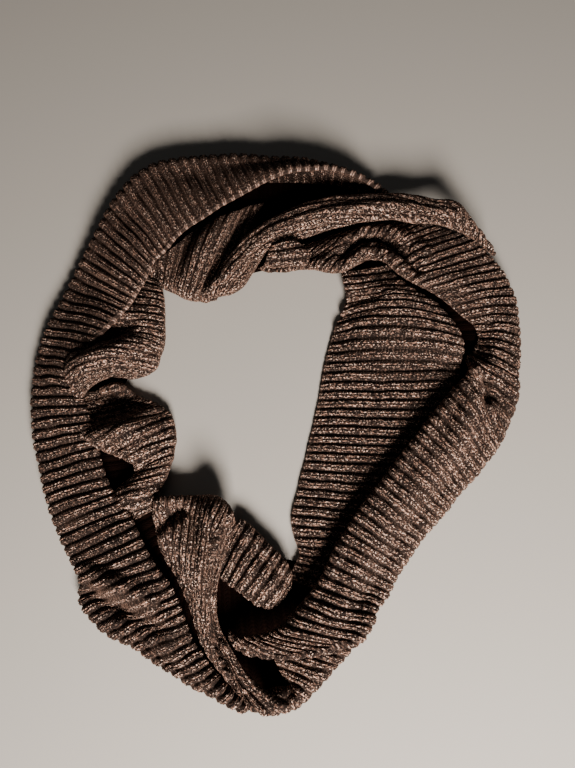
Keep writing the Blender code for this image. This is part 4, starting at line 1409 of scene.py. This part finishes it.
@dataclass(frozen=True)
class TopRoll(KnitStretch):
    """The cloth rolled over along the far side."""

    node: str = "top_roll"
    flat: tuple[float, float] = (65, 322)
    lies_on: tuple[str, ...] = ("hidden_layers", "right_band", "upper_left_folds")
    settle: float = 0.8
    seed: int = 100
    ribs_along: bool = True
    spiral: float = 0.12
    depth: float = 0.7
    sections: tuple[Section, ...] = rows_of(
        Section,
        (202, 141, 5, 2, 204, 140, 5, 1, 5),
        (195, 150, 10, 6, 193, 147, 9, 2, 10),
        (188, 160, 14, FLAT, 183, 155, 12, 3, 14),
        (179, 171, 17, FLAT, 172, 161, 15, 4, 18),
        (173, 182, 19, FLAT, 161, 166, 17, 5, 21),
        (163, 191, 20, FLAT, 147, 171, 19, 6, 23),
        (147, 194, 22, FLAT, 133, 172, 21, 6, 26),
        (132, 200, 22, FLAT, 117, 175, 21, 6, 27),
        (117, 203, 22, FLAT, 103, 177, 21, 6, 27),
        (101, 204, 22, FLAT, 89, 176, 21, 6, 27),
        (85, 204, 22, FLAT, 74, 174, 21, 6, 27),
        (70, 203, 22, FLAT, 60, 171, 21, 6, 27),
        (54, 202, 22, FLAT, 45, 168, 21, 6, 27),
        (39, 198, 22, FLAT, 32, 164, 21, 7, 26),
        (25, 194, 22, FLAT, 19, 160, 20, 7, 26),
        (13, 189, 21, FLAT, 7, 155, 20, 7, 25),
        (1, 183, 20, FLAT, -4, 151, 19, 8, 24),
        (-10, 177, 20, FLAT, -13, 144, 18, 10, 23),
        (-19, 169, 20, FLAT, -20, 135, 17, FLAT, 22),
        (-26, 162, 20, FLAT, -27, 123, 15, FLAT, 22),
        (-34, 153, 19, FLAT, -33, 111, 15, FLAT, 21),
        (-41, 142, 19, FLAT, -40, 105, 14, FLAT, 21),
        (-49, 131, 18, FLAT, -47, 101, 14, FLAT, 20),
        (-55, 120, 16, FLAT, -55, 99, 13, FLAT, 18),
        (-62, 111, 12, 8, -63, 98, 9, FLAT, 12),
        (-67, 104, 7, 4, -67, 98, 5, 3, 7),
    )


@dataclass(frozen=True)
class RightBand(KnitStretch):
    """The broad fold up the right, the pucker at its shoulder and the folds under the far roll."""

    node: str = "right_band"
    flat: tuple[float, float] = (97, 662)
    lies_on: tuple[str, ...] = ("hidden_layers", "right_inner_panel", "bottom_under_layer")
    settle: float = 0.9
    cuts: tuple[float, ...] = (0.5,)
    seed: int = 110
    depth: float = 1.1
    sections: tuple[Section, ...] = rows_of(
        Section,
        (-39, -202, 8, FLAT, -42, -193, 9, 4, 9),
        (-29, -208, 9, FLAT, -39, -195, 14, 5, 13),
        (-16, -210, 10, FLAT, -36, -196, 18, 6, 17),
        (2, -211, 11, FLAT, -33, -197, 21, 7, 19),
        (21, -209, 13, FLAT, -26, -196, 24, 8, 22),
        (38, -206, 12, FLAT, -17, -195, 26, 9, 21),
        (52, -201, 13, FLAT, -7, -193, 27, 10, 22),
        (62, -199, 14, FLAT, 2, -189, 28, 12, 23),
        (68, -195, 16, FLAT, 9, -182, 27, 13, 24),
        (73, -189, 18, FLAT, 16, -175, 27, 13, 26),
        (78, -183, 21, FLAT, 22, -169, 27, 13, 29),
        (81, -176, 21, FLAT, 28, -161, 27, 13, 29),
        (86, -171, 21, FLAT, 35, -152, 27, 13, 29),
        (91, -165, 21, FLAT, 41, -141, 27, 13, 29),
        (97, -154, 21, FLAT, 49, -126, 27, 13, 29),
        (106, -141, 21, FLAT, 59, -111, 27, 13, 29),
        (117, -127, 21, FLAT, 70, -94, 27, 13, 29),
        (127, -114, 21, FLAT, 83, -79, 27, 13, 29),
        (139, -102, 21, FLAT, 96, -63, 27, 13, 29),
        (151, -88, 21, FLAT, 109, -46, 27, 13, 29),
        (164, -75, 21, FLAT, 123, -30, 27, 13, 29),
        (176, -63, 21, FLAT, 136, -14, 27, 13, 29),
        (185, -51, 21, FLAT, 148, 0, 27, 13, 29),
        (192, -43, 21, FLAT, 159, 12, 25, 13, 26),
        (196, -38, 21, FLAT, 167, 20, 25, 13, 26),
        (204, -25, 20, FLAT, 172, 28, 23, 11, 21),
        (212, -8, 19, FLAT, 173, 34, 22, 10, 18),
        (218, 12, 19, FLAT, 173, 41, 14, 8, 20),
        (218, 26, 19, FLAT, 181, 49, 6, 2, 18),
        (221, 41, 19, FLAT, 187, 57, 5, 1, 17),
        (222, 56, 19, FLAT, 188, 67, 5, 1, 16),
        (223, 72, 19, FLAT, 184, 77, 6, 1, 16),
        (223, 86, 19, FLAT, 174, 85, 7, 1, 17),
        (222, 100, 19, FLAT, 164, 93, 9, 2, 18),
        (218, 113, 18, FLAT, 152, 100, 12, 4, 19),
        (213, 125, 18, FLAT, 140, 106, 15, 7, 20),
        (205, 136, 17, FLAT, 129, 110, 18, 8, 20),
        (197, 146, 16, FLAT, 119, 116, 19, 12, 20),
        (190, 155, 15, FLAT, 110, 122, 19, 9, 20),
        (183, 161, 13, 8, 104, 129, 18, 7, 19),
        (175, 165, 11, 4, 97, 135, 17, 7, 18),
        (165, 169, 9, 0, 89, 137, 16, 7, 17),
        (155, 173, 9, 0, 80, 136, 16, 7, 17),
        (146, 177, 9, 0, 72, 132, 16, 8, 17),
        (136, 178, 9, 0, 64, 128, 15, 9, 17),
        (126, 179, 9, 0, 58, 126, 15, 12, 17),
        (115, 179, 9, 0, 50, 126, 14, FLAT, 16),
        (104, 178, 9, 0, 42, 128, 13, FLAT, 16),
        (93, 176, 9, 0, 35, 131, 11, FLAT, 15),
        (82, 173, 9, 0, 27, 132, 9, FLAT, 14),
        (71, 171, 9, 0, 19, 133, 7, FLAT, 13),
        (60, 168, 9, 0, 11, 132, 7, FLAT, 12),
        (50, 165, 9, 0, 4, 131, 6, FLAT, 10),
        (41, 161, 8, 0, -2, 131, 5, 2, 8),
        (31, 159, 6, 0, -11, 131, 3, 1, 5),
        (20, 158, 4, 0, -20, 134, 2, 0, 3),
    )
    creases: tuple[Crease, ...] = rows_of(
        Crease,
        (61, 139, 70, 151, 8, -8),
        (70, 151, 82, 157, 8, -8),
        (82, 157, 94, 157, 8, -8),
        (94, 157, 107, 152, 8, -8),
        (107, 152, 117, 140, 8, -8),
        (117, 140, 127, 124, 8, -8),
        (68, 135, 81, 142, 5, 2.5),
        (81, 142, 97, 141, 5, 2.5),
        (97, 141, 108, 133, 5, 2.5),
        (108, 133, 118, 121, 5, 2.5),
        (63, 156, 82, 165, 8, 2.5),
        (82, 165, 104, 166, 8, 2.5),
        (104, 166, 123, 157, 8, 2.5),
        (123, 157, 141, 140, 8, 2.5),
        (157, 38, 175, 28, 5, 5),
        (175, 28, 188, 9, 5, 5),
        (185, 18, 187, 3, 9, -12),
        (169, -1, 150, -48, 12, 3),
        (187, 42, 194, 67, 10, -3),
    )


@dataclass(frozen=True)
class HiddenLayers:
    """The layers that never show, as one rounded ring of the same knit with a flat underside."""

    # It is dressed in a near-black copy of the yarn, as painted shade for the hollows where it
    # shows
    node: str = "hidden_layers"
    flat: tuple[float, float] = (80, 1100)
    across: int = 25
    steps: int = 6  # rows for each rib
    rib: float = 1.3
    sunk: float = 0.3  # how far its ridges lie below the height that others are laid over
    side: float = 0.7  # how square the ring's section is, less for a squarer one
    round: float = 0.6
    fine: tuple[int, int] = (2, 4)  # steps between its points where others are laid over it
    stitch: RibStitch = RibStitch()
    cores: tuple[Core, ...] = rows_of(
        Core,
        (-20, 233, -14, 134, 3),
        (42, 229, 26, 142, 3),
        (88, 213, 62, 142, 3),
        (122, 188, 68, 130, 4),
        (158, 163, 72, 116, 4),
        (186, 130, 94, 98, 5),
        (198, 90, 86, 74, 5),
        (199, 50, 74, 46, 5),
        (190, 10, 64, 10, 7),
        (168, -35, 54, -25, 7),
        (133, -75, 46, -62, 7),
        (98, -112, 40, -98, 7),
        (72, -152, 30, -132, 6),
        (46, -198, 14, -138, 3),
        (18, -238, -8, -132, 2),
        (-24, -246, -38, -130, 2),
        (-62, -232, -60, -140, 3),
        (-116, -190, -84, -132, 4),
        (-148, -148, -94, -110, 5),
        (-172, -110, -118, -86, 5),
        (-186, -70, -120, -58, 6),
        (-197, -25, -126, -26, 5),
        (-200, 15, -146, 12, 3),
        (-196, 50, -128, 48, 5),
        (-182, 95, -120, 88, 5),
        (-162, 145, -118, 118, 5),
        (-138, 190, -98, 130, 4),
        (-100, 218, -66, 124, 3),
    )

    def top(self) -> tuple[Grid, Grid]:
        """Draws the ring's top.

        Returns:
            Its rows of points, from outside to inside, and the place of each row in ribs.
        """
        table = np.array(self.cores + self.cores[:1], float)
        middle = (table[:, 0:2] + table[:, 2:4]) / 2
        along = np.concatenate([[0], np.cumsum(np.linalg.norm(np.diff(middle, axis=0), axis=1))])
        ribs = round(along[-1] / self.stitch.pitch)
        rows = through(table, along, np.linspace(0, along[-1], ribs * self.steps + 1))
        turn = np.linspace(np.pi, 0, self.across)
        share = (1 + np.sign(np.cos(turn)) * np.abs(np.cos(turn)) ** self.side)[None, :] / 2
        top = np.empty((len(rows), self.across, 3))
        for axis in (0, 1):
            outside, inside = rows[:, axis, None], rows[:, axis + 2, None]
            top[..., axis] = outside + (inside - outside) * share
        top[..., 2] = rows[:, 4, None] * np.sin(turn)[None, :] ** self.round
        rib = np.repeat(np.arange(len(rows))[:, None] / self.steps, self.across, axis=1)
        return top, rib

    def build(self, ground: Landscape, material: bpy.types.Material) -> list[bpy.types.Object]:
        """Makes the ring and adds it to the landscape.

        Args:
            ground: the landscape, with nothing laid yet.
            material: the yarn.

        Returns:
            The ring.
        """
        top, rib = self.top()
        ground.add(self.node, refined(top, self.fine))
        ridge = 1 - np.abs(2 * (rib % 1) - 1)
        along = measured_across(top)
        lowered = top.copy()
        lowered[..., 2] = np.maximum(top[..., 2] - self.rib * (1 - ridge) - self.sunk, 0)
        points = lowered[:-1].reshape(-1, 3)
        numbers = np.arange(len(points)).reshape(len(lowered) - 1, self.across)
        closed = np.concatenate([numbers, numbers[:1]])
        under = np.stack([closed[:-1, 0], closed[1:, 0], closed[1:, -1], closed[:-1, -1]], axis=-1)
        quads = np.concatenate([Wall.sheet(closed), under[:, ::-1]])
        name = f"{self.node}_knit"
        mesh = Wall.mesh_of(name, points * MM, quads.reshape(-1).copy(), np.full(len(quads), 4))
        marks = {
            "yarn": np.stack([along, rib * self.stitch.pitch, 0 * rib], axis=-1),
            "relief": ridge,
            "hem": 0 * ridge,
            "spread": 0 * ridge,
            "depth": 0 * ridge + 1,
        }
        add_marks(mesh, {mark: values[:-1] for mark, values in marks.items()})
        piece = placed(name, mesh)
        dress(piece, self.node, material)
        return [piece]


@dataclass(frozen=True)
class Floor:
    """A plain pale floor, in metres, so large that its edge is never seen."""

    side: float = 30.0
    paint: PlainPaint = PlainPaint()

    def build(self) -> None:
        """Makes the floor and leaves it out of the object."""
        half = self.side / 2
        mesh = bpy.data.meshes.new("floor")
        corners = [(-half, -half, 0), (half, -half, 0), (half, half, 0), (-half, half, 0)]
        mesh.from_pydata(corners, [], [(0, 1, 2, 3)])
        mesh.materials.append(self.paint.made())
        placed("floor", mesh)


@dataclass(frozen=True)
class Studio:
    """A large soft lamp low on the near side, a weak one overhead and a dim surround, in metres."""

    lamp_from: tuple[float, float, float] = (0.28, -1.02, 0.7)
    lamp_side: float = 0.42
    lamp_watts: float = 52.0
    lamp_tone: str = "#fff4ea"
    fill_from: tuple[float, float, float] = (-0.5, 0.7, 1.6)
    fill_side: float = 1.6
    fill_watts: float = 0.7
    surround: float = 0.022
    surround_tone: str = "#dfe4ee"

    def lamp(self, name: str, place: tuple[float, float, float], side: float, watts: float) -> None:
        """Adds a square lamp that looks at the object.

        Args:
            name: what it is called.
            place: where it hangs.
            side: how wide it is.
            watts: how strong it is.
        """
        light = bpy.data.lights.new(name, "AREA")
        light.shape = "SQUARE"
        light.size = side
        light.energy = watts
        light.color = linear(self.lamp_tone)[:3]
        lamp = placed(name, light)
        lamp.location = place
        lamp.rotation_euler = Vector(place).to_track_quat("Z", "Y").to_euler()

    def build(self) -> None:
        """Lights the scene."""
        self.lamp("key_lamp", self.lamp_from, self.lamp_side, self.lamp_watts)
        self.lamp("fill_lamp", self.fill_from, self.fill_side, self.fill_watts)
        world = bpy.data.worlds.new("surround")
        world.use_nodes = True
        background = world.node_tree.nodes["Background"]
        background.inputs["Color"].default_value = linear(self.surround_tone)
        background.inputs["Strength"].default_value = self.surround
        bpy.context.scene.world = world


@dataclass(frozen=True)
class Viewpoint:
    """The camera above the near side of the ring, leaning back a little, in metres and degrees."""

    place: tuple[float, float, float] = (0.0082, -0.0904, 0.522)
    lean: float = 12.0
    focal_share: float = 570 / 768  # focal length over the height of the image
    sensor: float = 36.0  # in millimetres
    nearest: float = 0.01

    def build(self) -> None:
        """Makes the camera and takes it into use."""
        lens = bpy.data.cameras.new("camera")
        lens.sensor_fit = "VERTICAL"
        lens.sensor_height = self.sensor
        lens.lens = self.focal_share * self.sensor
        lens.clip_start = self.nearest
        camera = placed("camera", lens)
        camera.location = self.place
        camera.rotation_euler = (math.radians(self.lean), 0, 0)
        bpy.context.scene.camera = camera


def main() -> None:
    """Builds the scarf around the frame, then its floor, light and camera."""
    logging.basicConfig(level=logging.INFO, format="%(message)s")
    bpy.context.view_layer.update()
    yarn = HeatherYarn().made()
    # The hidden layers get a near-black copy of the yarn with no gloss or sheen: painted shade for
    # the deep hollows where they show
    painted_shade_yarn = HeatherYarn(
        name="heather_wool_yarn_inner_layers_painted_shade",
        body="#070404",
        warm="#080504",
        light="#0f0a08",
        fleck="#120c0a",
        gloss=0.0,
        sheen=0.0,
    ).made()
    ground = Landscape()
    pieces = HiddenLayers().build(ground, painted_shade_yarn)
    for stretch in (
        RightInnerPanel(),
        BottomUnderLayer(),
        LowerLobe(),
        UpperLobe(),
        TentLobe(),
        CentreTent(),
        UpperLeftFolds(),
        RightBand(),
        TurnedCorner(),
        TopRoll(),
        LeftBand(),
    ):
        pieces += stretch.build(ground, yarn)
    for piece in pieces:
        LOG.info("%s: %d faces", piece.name, len(piece.data.polygons))
    Floor().build()
    Studio().build()
    Viewpoint().build()


if __name__ == "__main__":
    main()
